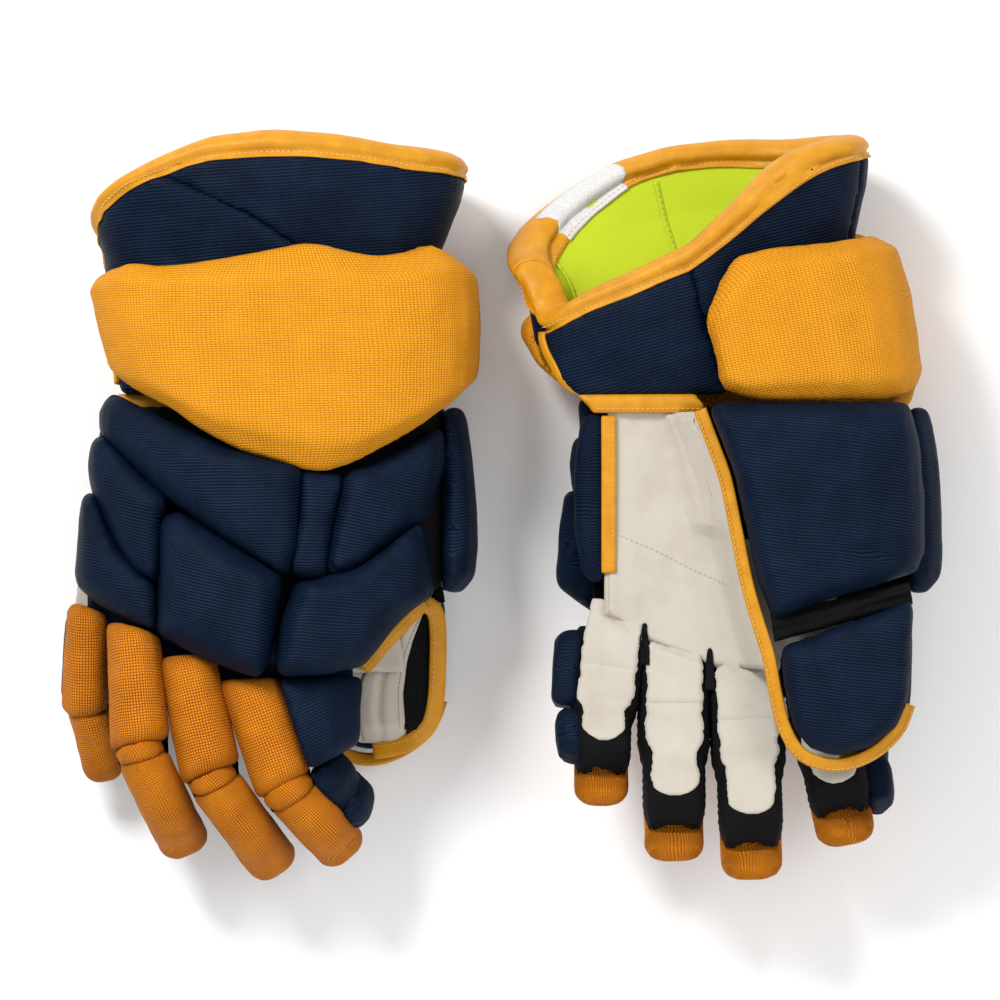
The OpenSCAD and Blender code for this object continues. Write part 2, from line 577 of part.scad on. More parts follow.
for (g = [0, 1]) {
    left = g == 1;
    glove = GLOVES[g];
    backhand_rolls(left);
    knuckle_pads(left);
    ulnar_rolls(left);
    backhand_base(left);
    palm(left);
    palm_binding(left);
    wrist_roll(left);
    cuff_roll(left);
    cuff_palm_panel(left);
    cuff_liner(left);
    cuff_binding(left);
    thumb_pad(left);
    thumb_tip_pad(left);
    thumb_sleeve(left);
    for (i = [0:3]) {
        name = str(glove, "_", FINGERS[i]);
        knuckle_roll(i, left);
        tip_roll(i, left);
        knuckle_stall(i, left);
        tip_stall(i, left);
    }
}
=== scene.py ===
"""A pair of ice hockey gloves: padded pieces, leather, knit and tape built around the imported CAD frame."""
import json
import math

import bmesh
import bpy
import numpy as np
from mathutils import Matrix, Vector, noise
from mathutils.bvhtree import BVHTree
from mathutils.kdtree import KDTree

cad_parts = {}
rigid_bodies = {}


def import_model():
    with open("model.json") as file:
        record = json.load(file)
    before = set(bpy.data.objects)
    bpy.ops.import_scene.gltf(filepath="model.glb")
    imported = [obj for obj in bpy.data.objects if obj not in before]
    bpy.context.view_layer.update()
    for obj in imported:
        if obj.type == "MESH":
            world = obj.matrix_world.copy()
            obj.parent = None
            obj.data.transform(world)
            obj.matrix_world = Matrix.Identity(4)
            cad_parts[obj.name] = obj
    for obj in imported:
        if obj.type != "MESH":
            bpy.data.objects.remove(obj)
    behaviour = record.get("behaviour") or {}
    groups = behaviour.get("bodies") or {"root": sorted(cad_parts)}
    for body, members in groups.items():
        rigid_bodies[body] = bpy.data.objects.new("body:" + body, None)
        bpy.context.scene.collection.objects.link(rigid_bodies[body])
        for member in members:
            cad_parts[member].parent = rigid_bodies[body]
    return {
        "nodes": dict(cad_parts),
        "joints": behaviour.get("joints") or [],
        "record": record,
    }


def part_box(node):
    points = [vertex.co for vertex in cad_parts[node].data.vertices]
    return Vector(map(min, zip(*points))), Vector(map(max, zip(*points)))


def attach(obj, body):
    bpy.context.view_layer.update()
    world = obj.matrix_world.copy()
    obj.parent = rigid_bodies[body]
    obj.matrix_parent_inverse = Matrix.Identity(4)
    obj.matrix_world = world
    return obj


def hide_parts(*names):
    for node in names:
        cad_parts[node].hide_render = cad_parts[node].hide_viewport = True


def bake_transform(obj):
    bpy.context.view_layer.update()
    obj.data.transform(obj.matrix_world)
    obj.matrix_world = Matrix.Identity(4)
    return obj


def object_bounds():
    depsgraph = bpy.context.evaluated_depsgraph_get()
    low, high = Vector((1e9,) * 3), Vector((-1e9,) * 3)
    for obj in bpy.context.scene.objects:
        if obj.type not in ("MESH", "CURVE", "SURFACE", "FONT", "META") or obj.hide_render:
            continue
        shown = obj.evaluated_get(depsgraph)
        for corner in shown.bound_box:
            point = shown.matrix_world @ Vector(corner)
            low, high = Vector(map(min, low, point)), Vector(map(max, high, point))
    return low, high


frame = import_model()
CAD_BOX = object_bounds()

MM = 0.001
SIDES = ("right", "left")
FINGERS = ("pinky", "ring", "middle", "index")
JOINTS = {joint["name"]: joint for joint in frame["joints"]}
BODY_OF = {node: body for body, nodes in frame["record"]["behaviour"]["bodies"].items() for node in nodes}
CUFF_BEND = {"right": 0.0, "left": math.radians(10)}  # sideways bend of each cuff
DORSAL = {"right": 1.0, "left": -1.0}                 # which way the back of the hand faces along Z


# ------------------------------------------------------------------ mesh helpers

def unit(vector):
    vector = np.asarray(vector, float)
    return vector / max(np.linalg.norm(vector), 1e-12)


def node_mesh(name):
    """Merged vertices and triangles of a CAD node."""
    mesh = frame["nodes"][name].data
    co = np.empty(len(mesh.vertices) * 3)
    mesh.vertices.foreach_get("co", co)
    mesh.calc_loop_triangles()
    tris = np.empty(len(mesh.loop_triangles) * 3, int)
    mesh.loop_triangles.foreach_get("vertices", tris)
    keys, back = np.unique(np.round(co.reshape(-1, 3), 6), axis=0, return_inverse=True)
    tris = back.reshape(-1)[tris].reshape(-1, 3)
    good = (tris[:, 0] != tris[:, 1]) & (tris[:, 1] != tris[:, 2]) & (tris[:, 0] != tris[:, 2])
    return keys, tris[good]


def solids(name):
    """The separate closed pieces of a CAD node, from -X to +X."""
    co, tris = node_mesh(name)
    label = np.arange(len(co))
    while True:
        low = label[tris].min(1)
        new = label.copy()
        np.minimum.at(new, tris.reshape(-1), np.repeat(low, 3))
        if (new == label).all():
            break
        label = new
    found = []
    for value in np.unique(label):
        keep = tris[label[tris[:, 0]] == value]
        used, back = np.unique(keep, return_inverse=True)
        found.append((co[used], back.reshape(-1, 3)))
    return sorted(found, key=lambda part: part[0][:, 0].mean())


def linked(name, data):
    obj = bpy.data.objects.new(name, data)
    bpy.context.scene.collection.objects.link(obj)
    return obj


def new_object(name, co, faces, smooth=True):
    mesh = bpy.data.meshes.new(name)
    mesh.from_pydata([tuple(p) for p in co], [], [tuple(int(i) for i in f) for f in faces])
    mesh.validate()
    mesh.polygons.foreach_set("use_smooth", [smooth] * len(mesh.polygons))
    return linked(name, mesh)


def arrays(mesh):
    co = np.empty(len(mesh.vertices) * 3)
    mesh.vertices.foreach_get("co", co)
    return co.reshape(-1, 3), [tuple(p.vertices) for p in mesh.polygons]


def taken(obj):
    """Vertices and faces of an object with its modifiers applied. The object is removed."""
    graph = bpy.context.evaluated_depsgraph_get()
    mesh = bpy.data.meshes.new_from_object(obj.evaluated_get(graph))
    result = arrays(mesh)
    bpy.data.objects.remove(obj)
    bpy.data.meshes.remove(mesh)
    return result


def modified(co, faces, kind, **settings):
    """Vertices and faces after one modifier."""
    obj = new_object("modified", co, faces)
    modifier = obj.modifiers.new("modifier", kind)
    for key, value in settings.items():
        setattr(modifier, key, value)
    return taken(obj)


def remeshed(co, tris, voxel):
    """An even quad skin over a closed solid."""
    return modified(co, tris, "REMESH", mode="VOXEL", voxel_size=voxel)


def edge_pairs(faces):
    pairs = {(min(a, b), max(a, b)) for f in faces for a, b in zip(f, f[1:] + f[:1])}
    return np.array(sorted(pairs), int)


def averaged(values, pairs, rounds, weight=0.5):
    """Values smoothed over the mesh's edges."""
    values = values.copy()
    count = np.bincount(pairs.reshape(-1), minlength=len(values))[:, None]
    for _ in range(rounds):
        total = np.zeros_like(values)
        np.add.at(total, pairs[:, 0], values[pairs[:, 1]])
        np.add.at(total, pairs[:, 1], values[pairs[:, 0]])
        values += weight * (total / np.maximum(count, 1) - values)
    return values


def relaxed(co, faces, rounds):
    """Smooths facets away without shrinking the form."""
    pairs = edge_pairs(faces)
    for _ in range(rounds):
        co = averaged(co, pairs, 1, 0.6)
        co = averaged(co, pairs, 1, -0.62)
    return co


def normals(co, faces):
    quads = np.array([f if len(f) == 4 else f + (f[-1],) for f in faces], int)
    cross = np.cross(co[quads[:, 2]] - co[quads[:, 0]], co[quads[:, 3]] - co[quads[:, 1]])
    result = np.zeros_like(co)
    for k in range(4):
        np.add.at(result, quads[:, k], cross)
    return result / np.maximum(np.linalg.norm(result, axis=1)[:, None], 1e-12)


# ------------------------------------------------------------------ cloth

START_INSIDE = 0.5 * MM  # how far a pad starts inside the shape it swells into
SWELL_CAP = 0.7 * MM     # how far the cloth may move a point of the pad's skin
LAST_FRAME = 20
CLOTH = {"quality": 4, "mass": 0.2, "tension_stiffness": 12, "compression_stiffness": 12,
         "shear_stiffness": 4, "bending_stiffness": 0.4, "use_pressure": True, "uniform_pressure_force": 5}


def inflated(parts):
    """Runs one cloth simulation over every pad skin, (vertices, faces), and returns the new vertices."""
    starts = np.cumsum([0] + [len(co) for co, _ in parts])
    skin = np.concatenate([co - START_INSIDE * normals(co, faces) for co, faces in parts])
    faces = [tuple(i + int(start) for i in f) for start, (_, fs) in zip(starts, parts) for f in fs]
    obj = new_object("cloth", skin, faces)
    cloth = obj.modifiers.new("cloth", "CLOTH")
    for key, value in CLOTH.items():
        setattr(cloth.settings, key, value)
    cloth.settings.effector_weights.gravity = 0
    cloth.collision_settings.use_collision = False
    cloth.point_cache.frame_start = 1
    cloth.point_cache.frame_end = LAST_FRAME
    for frame_number in range(1, LAST_FRAME + 1):
        bpy.context.scene.frame_set(frame_number)
    moved, _ = taken(obj)
    bpy.context.scene.frame_set(1)
    target = np.concatenate([co for co, _ in parts])
    shift = moved - target
    length = np.linalg.norm(shift, axis=1)[:, None]
    moved = target + shift * np.minimum(1, SWELL_CAP / np.maximum(length, 1e-9))
    return [moved[a:b] for a, b in zip(starts, starts[1:])]


COARSE_VOXEL = 4.5 * MM


def swollen(skins):
    """Swells fine skins, (vertices, faces), as coarse copies of them do in the cloth simulation."""
    coarse = [remeshed(co, faces, COARSE_VOXEL) for co, faces in skins]
    result = []
    for (co, _), (rough, _), moved in zip(skins, coarse, inflated(coarse)):
        tree = KDTree(len(rough))
        for i, point in enumerate(rough):
            tree.insert(point, i)
        tree.balance()
        shift = moved - rough
        carried = np.empty_like(co)
        for i, point in enumerate(co):
            near = tree.find_n(point, 4)
            weights = np.array([1 / (d + 0.5 * MM) for _, _, d in near])
            carried[i] = weights @ shift[[k for _, k, _ in near]] / weights.sum()
        result.append(co + carried)
    return result


# ------------------------------------------------------------------ fabric coordinates

def flat_grain(across, along, out):
    """Fabric laid over a pad from the side it faces, and folded down its walls."""
    across, along, out = unit(across), unit(along), unit(out)

    def coordinates(co, normal):
        depth = (co @ out).max() - co @ out
        return np.stack([co @ across + depth * (normal @ across),
                         co @ along + depth * (normal @ along)], 1) / MM
    return coordinates


def ring_grain(side, centre):
    """Fabric wrapped round the cuff: arc length round the section, and distance along it."""
    bend = CUFF_BEND[side]
    along = np.array([-math.sin(bend), math.cos(bend), 0])
    across = np.array([math.cos(bend), math.sin(bend), 0])

    def coordinates(co, normal):
        x, z = (co - centre) @ across, (co - centre)[:, 2]
        angle = np.arctan2(z / 0.042, x / 0.085)
        return np.stack([angle * 72, co @ along / MM], 1)
    return coordinates


def set_fabric(mesh, uv):
    """Stores each vertex's place on the cloth, in millimetres, for the weaves to read."""
    layer = mesh.attributes.new("fabric", "FLOAT_VECTOR", "POINT")
    layer.data.foreach_set("vector", np.column_stack([uv, np.zeros(len(uv))]).reshape(-1).astype(np.float32))


# ------------------------------------------------------------------ materials

class Value:
    """A number that a material works out. Arithmetic on it adds Math nodes."""

    def __init__(self, nodes, socket):
        self.nodes, self.socket = nodes, socket

    def math(self, operation, *others):
        return self.nodes.math(operation, self, *others)

    def __add__(self, other):
        return self.math("ADD", other)

    def __sub__(self, other):
        return self.math("SUBTRACT", other)

    def __rsub__(self, other):
        return self.nodes.math("SUBTRACT", other, self)

    def __mul__(self, other):
        return self.math("MULTIPLY", other)


class Nodes:
    """A short way to build a Principled material out of maths on the fabric coordinates."""

    def __init__(self, name, **settings):
        self.material = bpy.data.materials.new(name)
        self.material.use_nodes = True
        self.tree = self.material.node_tree
        self.shader = self.tree.nodes["Principled BSDF"]
        for key, value in settings.items():
            self.shader.inputs[key.replace("_", " ")].default_value = value

    def add(self, kind, **inputs):
        node = self.tree.nodes.new(kind)
        for key, value in inputs.items():
            self.put(node.inputs[key.replace("_", " ")], value)
        return node

    def put(self, socket, value):
        if isinstance(value, Value):
            value = value.socket
        if isinstance(value, bpy.types.NodeSocket):
            self.tree.links.new(value, socket)
        else:
            socket.default_value = value

    def math(self, operation, *values):
        node = self.tree.nodes.new("ShaderNodeMath")
        node.operation = operation
        for socket, value in zip(node.inputs, values):
            self.put(socket, value)
        return Value(self, node.outputs[0])

    def uv(self, turn=0.0, scale=1.0):
        """The fabric coordinates in millimetres, turned and scaled."""
        source = self.tree.nodes.new("ShaderNodeAttribute")
        source.attribute_name = "fabric"
        mapping = self.add("ShaderNodeMapping", Vector=source.outputs["Vector"])
        mapping.inputs["Rotation"].default_value = (0, 0, turn)
        mapping.inputs["Scale"].default_value = (scale, scale, scale)
        return mapping.outputs[0]

    def split(self, vector):
        node = self.add("ShaderNodeSeparateXYZ", Vector=vector)
        return Value(self, node.outputs[0]), Value(self, node.outputs[1])

    def noise(self, vector, scale, detail=3.0, rough=0.55):
        node = self.add("ShaderNodeTexNoise", Vector=vector, Scale=scale, Detail=detail, Roughness=rough)
        return Value(self, node.outputs["Fac"])

    def place(self):
        """Object space, for variation that runs over a whole piece."""
        return self.tree.nodes.new("ShaderNodeTexCoord").outputs["Object"]

    def colour(self, factor, *stops):
        """Sets the base colour from a factor, by stops of (position, colour)."""
        node = self.add("ShaderNodeValToRGB", Fac=factor)
        ramp = node.color_ramp
        while len(ramp.elements) < len(stops):
            ramp.elements.new(0.5)
        for element, (position, colour) in zip(ramp.elements, stops):
            element.position = position
            element.color = (*colour, 1)
        self.put(self.shader.inputs["Base Color"], node.outputs["Color"])

    def surface(self, normal):
        self.put(self.shader.inputs["Normal"], normal)

    def bump(self, height, strength, distance, normal=None):
        node = self.add("ShaderNodeBump", Height=height, Strength=strength, Distance=distance)
        if normal is not None:
            self.put(node.inputs["Normal"], normal)
        return node.outputs["Normal"]


def wear(n, amount):
    """A soft, patchy value for colour variation, about zero."""
    return (n.noise(n.place(), 60.0, 4.0, 0.6) - 0.5) * amount


def basket_weave(name, light, mid, dark, pitch):
    n = Nodes(name, Roughness=0.7, Specular_IOR_Level=0.14)
    u, v = n.split(n.uv(0.03, 1 / pitch))
    wobble = (n.noise(n.uv(), 0.09, 2.0) - 0.5) * 0.8
    u, v = u + wobble, v - wobble
    ridge_u = ((u.math("FRACT") - 0.5) * math.pi).math("COSINE")
    ridge_v = ((v.math("FRACT") - 0.5) * math.pi).math("COSINE")
    parity = (u.math("FLOOR") + v.math("FLOOR")).math("ABSOLUTE").math("MODULO", 2.0)
    warp = ridge_u * (ridge_v * 0.55 + 0.45) * (1.0 - parity)
    weft = ridge_v * (ridge_u * 0.55 + 0.45) * parity
    height = warp + weft * 0.86
    # The weave's height sets the colour: painted highlight on the thread crowns and painted shade in the gaps
    # between threads. wear() adds tone that differs at random.
    n.colour(height + wear(n, 0.5), (0.12, dark), (0.5, mid), (0.95, light))
    n.surface(n.bump(height, 0.9, 0.55 * MM))
    return n.material


def ribbed_nylon(name, light, mid, dark):
    n = Nodes(name, Roughness=0.5, Specular_IOR_Level=0.06)
    u, v = n.split(n.uv(0.1))
    drift = n.noise(n.uv(), 0.03, 1.0) * 1.6
    rib = ((v + drift) * (2 * math.pi / 1.5)).math("SINE")
    thread = (u * (2 * math.pi / 0.9)).math("SINE")
    height = rib * 0.36 + thread * 0.14 + 0.5
    stretched = n.add("ShaderNodeMapping", Vector=n.uv())
    stretched.inputs["Scale"].default_value = (0.5, 1.6, 1)
    streak = n.noise(stretched.outputs[0], 1.0, 3.0)
    # The rib and thread height paints highlights on the ribs and shade in the troughs between them; the
    # streaks and wear are tone that differs at random.
    rib_shading_and_streaks = height * 0.6 + streak * 0.25 + wear(n, 0.45)
    n.colour(rib_shading_and_streaks, (0.15, dark), (0.5, mid), (0.92, light))
    n.surface(n.bump(height, 0.6, 0.3 * MM))
    return n.material


def coated_tape(name, light, dark):
    n = Nodes(name, Roughness=0.5, Specular_IOR_Level=0.25, Coat_Weight=0.05, Coat_Roughness=0.4)
    grain = n.noise(n.place(), 900.0, 3.0)
    crease = n.noise(n.place(), 120.0, 4.0, 0.65)
    n.colour(crease, (0.3, dark), (0.7, light))
    fine = n.bump(grain, 0.25, 0.08 * MM)
    n.surface(n.bump(crease, 0.5, 0.5 * MM, fine))
    return n.material


def soft_leather(name, light, mid, dark):
    n = Nodes(name, Roughness=0.72, Specular_IOR_Level=0.2)
    cells = n.add("ShaderNodeTexVoronoi", Vector=n.place(), Scale=900.0)
    crease = n.noise(n.place(), 55.0, 5.0, 0.62)
    broad = n.noise(n.place(), 18.0, 3.0)
    n.colour(crease * 0.6 + broad * 0.4, (0.28, dark), (0.48, mid), (0.72, light))
    fine = n.bump(cells.outputs["Distance"], 0.3, 0.12 * MM)
    n.surface(n.bump(crease, 0.45, 0.9 * MM, fine))
    return n.material


def knit(name, light, dark, pitch, depth):
    n = Nodes(name, Roughness=0.85, Specular_IOR_Level=0.1)
    u, v = n.split(n.uv(0.0, 1 / pitch))
    column = (u * math.pi).math("SINE").math("ABSOLUTE")
    slant = v + u.math("PINGPONG", 0.5) * 1.1
    loop = (slant * math.pi).math("SINE").math("ABSOLUTE")
    height = column * (loop * 0.6 + 0.4)
    # The loop height sets the colour: painted highlight on the loops and painted shade in the gaps between
    # them. wear() adds tone that differs at random.
    n.colour(height + wear(n, 0.5), (0.1, dark), (0.9, light))
    n.surface(n.bump(height, 0.7, depth))
    return n.material


def thread(name, colour):
    n = Nodes(name, Roughness=0.5, Sheen_Weight=0.2)
    twist = n.noise(n.place(), 2500.0, 2.0)
    deep = tuple(c * 0.6 for c in colour)
    n.colour(twist, (0.35, deep), (0.65, colour))
    n.surface(n.bump(twist, 0.5, 0.1 * MM))
    return n.material


# Colours are linear: light, middle and dark of each fabric, then the pitch of its weave or knit in mm. On the
# weaves, the ribbed nylon and the knits, light and dark are a painted highlight on the raised threads and
# painted shade between them.
LOOKS = {
    "navy_fabric": ribbed_nylon("navy_ribbed_nylon", (0.0115, 0.028, 0.068), (0.0033, 0.0095, 0.0255),
                                (0.0007, 0.002, 0.0055)),
    "gold_weave": basket_weave("gold_basket_weave", (0.78, 0.335, 0.016), (0.7, 0.28, 0.01),
                               (0.54, 0.19, 0.005), 1.15),
    "orange_weave": basket_weave("orange_basket_weave", (0.74, 0.27, 0.009), (0.56, 0.163, 0.0045),
                                 (0.2, 0.042, 0.0015), 1.4),
    "gold_binding": coated_tape("gold_coated_tape", (0.6, 0.27, 0.007), (0.5, 0.2, 0.004)),
    "cream_leather": soft_leather("cream_soft_leather", (0.53, 0.49, 0.425), (0.48, 0.44, 0.375),
                                  (0.42, 0.375, 0.31)),
    "black_knit": knit("black_stretch_knit", (0.009, 0.009, 0.01), (0.0015, 0.0015, 0.002), 1.1, 0.3 * MM),
    "lime_lining": knit("lime_brushed_lining", (0.5, 0.6, 0.028), (0.42, 0.52, 0.018), 0.9, 0.05 * MM),
}
GOLD_THREAD = thread("gold_thread", (0.8, 0.46, 0.1))
CREAM_THREAD = thread("cream_thread", (0.5, 0.45, 0.38))
LIME_THREAD = thread("lime_thread", (0.34, 0.42, 0.03))
SATIN = thread("white_satin", (0.7, 0.7, 0.7))


# ------------------------------------------------------------------ pieces

def placed(name, co, faces, uv, look, body=None, node=None):
    """A piece with its fabric coordinates and material. Its body is left out when it is attached to none, and
    its CAD node when it stands for none."""
    obj = new_object(name, co, faces)
    set_fabric(obj.data, uv)
    if isinstance(look, str):
        look = LOOKS[look]
    obj.data.materials.append(look)
    if body:
        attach(obj, body)
    if node:
        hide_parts(node)
    return obj


def finger_frame(side, finger, tip):
    """Hinge point, and unit vectors across, along and out of the back of a finger segment."""
    end = JOINTS[f"{side}_{finger}_tip_flex"]
    joint = end if tip else JOINTS[f"{side}_{finger}_knuckle_flex"]
    across = np.array(joint["axis"]) * DORSAL[side]
    start = np.array(joint["pos_m"])
    if tip:
        co, _ = node_mesh(f"{side}_{finger}_tip_stall")
        ahead = np.cross(across, [0, 0, 1])
        reach = (co - start) @ ahead
        rise = (co - start)[:, 2] * DORSAL[side]
        near = (reach > 0.3 * reach.max()) & (reach < 0.7 * reach.max())
        slope = (rise[near] / reach[near]).min()
        along = unit(ahead + np.array([0, 0, slope * DORSAL[side]]))
    else:
        along = unit(np.array(end["pos_m"]) - start)
    out = unit(np.cross(along, across))
    if out[2] * DORSAL[side] < 0:
        out = -out
    return start, unit(across), along, out


def thumb_sign(across):
    """Which way along a vector the thumb lies: it is at +X in both gloves."""
    return 1.0 if across[0] > 0 else -1.0


CUFF_NODES = ("wrist_roll", "cuff_roll", "cuff_palm_panel", "cuff_liner", "cuff_binding")


def grain_for(node, co):
    """How the fabric lies on one solid of a CAD node."""
    side = node.split("_")[0]
    part = node[len(side) + 1:]
    back = np.array([0, 0, DORSAL[side]])
    if part in CUFF_NODES:
        low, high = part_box(f"{side}_cuff_binding")
        return ring_grain(side, (np.array(low) + np.array(high)) / 2)
    finger = next((f for f in FINGERS if part.startswith(f)), None)
    if finger:
        _, across, along, out = finger_frame(side, finger, "tip" in part)
        return flat_grain(across, along, out)
    if part.startswith("thumb") or part.startswith("palm"):
        return flat_grain((1, 0.05, 0), (0, 1, 0), -back)
    span = co.max(0) - co.min(0)
    if part in ("ulnar_rolls", "knuckle_pads") and span[0] < 0.6 * span[2]:
        outward = np.sign(co[:, 0].mean() - np.array(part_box(f"{side}_wrist_roll")).mean(0)[0])
        return flat_grain((0, 0, 1), (0, 1, 0), (outward, 0, 0))
    turn = 0.12 * math.sin(40 * co[:, 0].mean() + 70 * co[:, 1].mean())
    return flat_grain((math.cos(turn), math.sin(turn), 0), (-math.sin(turn), math.cos(turn), 0), back)


SIDE_ROLL_REACH = 9 * MM    # least distance of a side roll's middle from its finger's middle line


def is_side_roll(node, co):
    """Whether a solid of a little or index finger node lies beside the finger, not on it."""
    side = node.split("_")[0]
    finger = next((f for f in ("pinky", "index") if f"_{f}_" in node), None)
    if finger is None:
        return False
    start, across, _, _ = finger_frame(side, finger, "_tip_" in node)
    reach = (co - start) @ across * thumb_sign(across)
    return reach.mean() * (1 if finger == "index" else -1) > SIDE_ROLL_REACH


PAD_VOXEL = 2.4 * MM
ROLL_VOXEL = 2.0 * MM
RELAX_ROUNDS = {"wrist_roll": 6}    # and two for any other pad
# The stuffed parts, and how much bigger each one's cover is than its CAD solid, in millimetres.
GROWTH = {"backhand_rolls": 2.2, "knuckle_pads": 2.2, "ulnar_rolls": 2.2, "wrist_roll": 0.8,
          "cuff_roll": 1.5, "cuff_palm_panel": 1.3, "thumb_pad": 1.6, "thumb_tip_pad": 1.6,
          "knuckle_roll": 1.8, "tip_roll": 1.8}
FOLD_GROWTH = 0.6    # the same for the narrow fold between two finger rolls
FOLD_LENGTH = 15 * MM
PUCKER = (0.45 * MM, 14 * MM)    # depth and size of the dips in a cover


def slot_of(node):
    return next(p["material_slot"] for p in frame["record"]["subparts"] if p["node"] == node)


def grown(co, faces, amount):
    """The shape a solid swells into, kept off the table and under the top of the pair."""
    co = co + amount * averaged(normals(co, faces), edge_pairs(faces), 2)
    co[:, 2] = np.clip(co[:, 2], CAD_BOX[0][2] + 0.2 * MM, CAD_BOX[1][2] + 1.5 * MM)
    return co


def puckered(co, faces, amount, size):
    """Small uneven dips, as in fabric sewn over foam."""
    wave = np.array([noise.noise(Vector(p) / size) for p in co])
    return co + amount * wave[:, None] * normals(co, faces)


def build_pads():
    """Every stuffed pad and roll: voxel skin, cloth under pressure for all but the cuff's, then one
    subdivision.
    """
    jobs = []
    for node in sorted(frame["nodes"]):
        part = next((p for p in GROWTH if node.endswith(p)), None)
        if part is None:
            continue
        found = solids(node)
        for k, (co, tris) in enumerate(found):
            on_finger = part in ("knuckle_roll", "tip_roll")
            skin, faces = remeshed(co, tris, ROLL_VOXEL if on_finger else PAD_VOXEL)
            skin = relaxed(skin, faces, RELAX_ROUNDS.get(part, 2))
            is_fold = part == "tip_roll" and np.ptp(skin[:, 1]) < FOLD_LENGTH
            skin = grown(skin, faces, (FOLD_GROWTH if is_fold else GROWTH[part]) * MM)
            jobs.append({"node": node, "co": skin, "faces": faces, "solid": k, "of": len(found)})
    free = [job for job in jobs if "_cuff_" not in job["node"]]
    for job, co in zip(free, swollen([(job["co"], job["faces"]) for job in free])):
        job["co"] = co
    for job in jobs:
        finish_pad(job)


def finish_pad(job):
    node, many = job["node"], job["of"] > 1
    co, faces = modified(job["co"], job["faces"], "SUBSURF", levels=1, render_levels=1)
    co = puckered(co, faces, *PUCKER)
    co[:, 2] = np.clip(co[:, 2], CAD_BOX[0][2], None)
    facing = averaged(normals(co, faces), edge_pairs(faces), 4)
    uv = grain_for(node, co)(co, facing)
    look = "navy_fabric" if is_side_roll(node, job["co"]) else slot_of(node)
    name = f"{node}_{job['solid']}_soft" if many else f"{node}_soft"
    placed(name, co, faces, uv, look, BODY_OF[node], node)


# The thin parts, and the voxel of each one's skin in millimetres.
THIN_PARTS = {"backhand_base": 2.0, "palm": 1.5, "palm_binding": 1.1, "cuff_liner": 1.7, "cuff_binding": 1.8,
              "thumb_sleeve": 1.4, "knuckle_stall": 1.4, "tip_stall": 1.4}


def build_skins():
    """Leather, lining, tape and knit: a fine voxel skin over each thin CAD shell."""
    for node in sorted(frame["nodes"]):
        part = next((p for p in THIN_PARTS if node.endswith(p)), None)
        if part is None:
            continue
        verts, faces = [], []
        for co, tris in solids(node):
            skin, skin_faces = remeshed(co, tris, THIN_PARTS[part] * MM)
            skin = relaxed(skin, skin_faces, 9)
            if part == "cuff_binding":
                skin = averaged(skin, edge_pairs(skin_faces), 14)
            skin_faces = [tuple(i + sum(map(len, verts)) for i in f) for f in skin_faces]
            verts.append(skin)
            faces += skin_faces
        co = np.concatenate(verts)
        smooth = averaged(normals(co, faces), edge_pairs(faces), 4)
        uv = grain_for(node, co)(co, smooth)
        placed(f"{node}_skin", co, faces, uv, slot_of(node), BODY_OF[node], node)


# ------------------------------------------------------------------ places in a glove

# A glove's own frame, in millimetres.
GLOVE_H = 110          # thickness of a lying glove
WRIST = (20, 50)       # centre of the left glove's sideways bend
HINGE = (92, 0, 34)    # the thumb's hinge
RAY_START = 0.2        # metres from the glove's middle, outside every piece


def smooth_step(t):
    t = min(max(t, 0.0), 1.0)
    return t * t * (3 - 2 * t)


def bent(x, y):
    """The left glove's bend and step at the wrist and its narrower little-finger side, as in the CAD."""
    angle = CUFF_BEND["left"] * smooth_step((y - 48) / 50)
    dx, dy = x - WRIST[0], y - WRIST[1]
    narrow = 8 * smooth_step((-40 - x) / 45) * (1 - smooth_step((y - 40) / 30)) * smooth_step((y + 64) / 6)
    step = math.degrees(CUFF_BEND["left"]) * smooth_step((y - 46) / 16)
    return (WRIST[0] + dx * math.cos(angle) - dy * math.sin(angle) + narrow - step,
            WRIST[1] + dx * math.sin(angle) + dy * math.cos(angle))


def glove_point(side, x, y, z=0.0):
    """A point of a glove's own frame, as a point of the pair."""
    hinge = np.array(JOINTS[f"{side}_thumb_swing"]["pos_m"])
    if side == "left":
        x, y = bent(x, y)
    return hinge + np.array([x - HINGE[0], y - HINGE[1], DORSAL[side] * (z - HINGE[2])]) * MM


def glove_vector(side, x, y, z):
    return unit([x, y, DORSAL[side] * z])


def palmward(side):
    return glove_vector(side, 0, 0, -1)


def lengths(points):
    """Length along a line of points, at each of them."""
    return np.concatenate([[0], np.cumsum(np.linalg.norm(np.diff(points, axis=0), axis=1))])


def curve(points, step):
    """Even points along a smooth line through some points."""
    points = np.array(points, float)
    padded = np.vstack([2 * points[0] - points[1], points, 2 * points[-1] - points[-2]])
    fine = []
    for a, b, c, d in zip(padded, padded[1:], padded[2:], padded[3:]):
        for t in np.linspace(0, 1, 12, endpoint=False):
            fine.append(0.5 * (2 * b + (c - a) * t + (2 * a - 5 * b + 4 * c - d) * t ** 2
                               + (3 * b - a - 3 * c + d) * t ** 3))
    fine = np.array(fine + [points[-1]])
    run = lengths(fine)
    places = np.linspace(0, run[-1], max(3, int(round(run[-1] / step)) + 1))
    return np.stack([np.interp(places, run, fine[:, k]) for k in range(fine.shape[1])], 1)


def tree_of(*names):
    """Ray-cast tree over some finished pieces, found by the start of their names."""
    verts, faces = [], []
    for obj in bpy.context.scene.objects:
        if obj.type == "MESH" and not obj.hide_render and obj.name.startswith(names):
            co, fs = arrays(obj.data)
            faces += [tuple(i + len(verts) for i in f) for f in fs]
            verts += [tuple(p) for p in co]
    return BVHTree.FromPolygons(verts, faces)


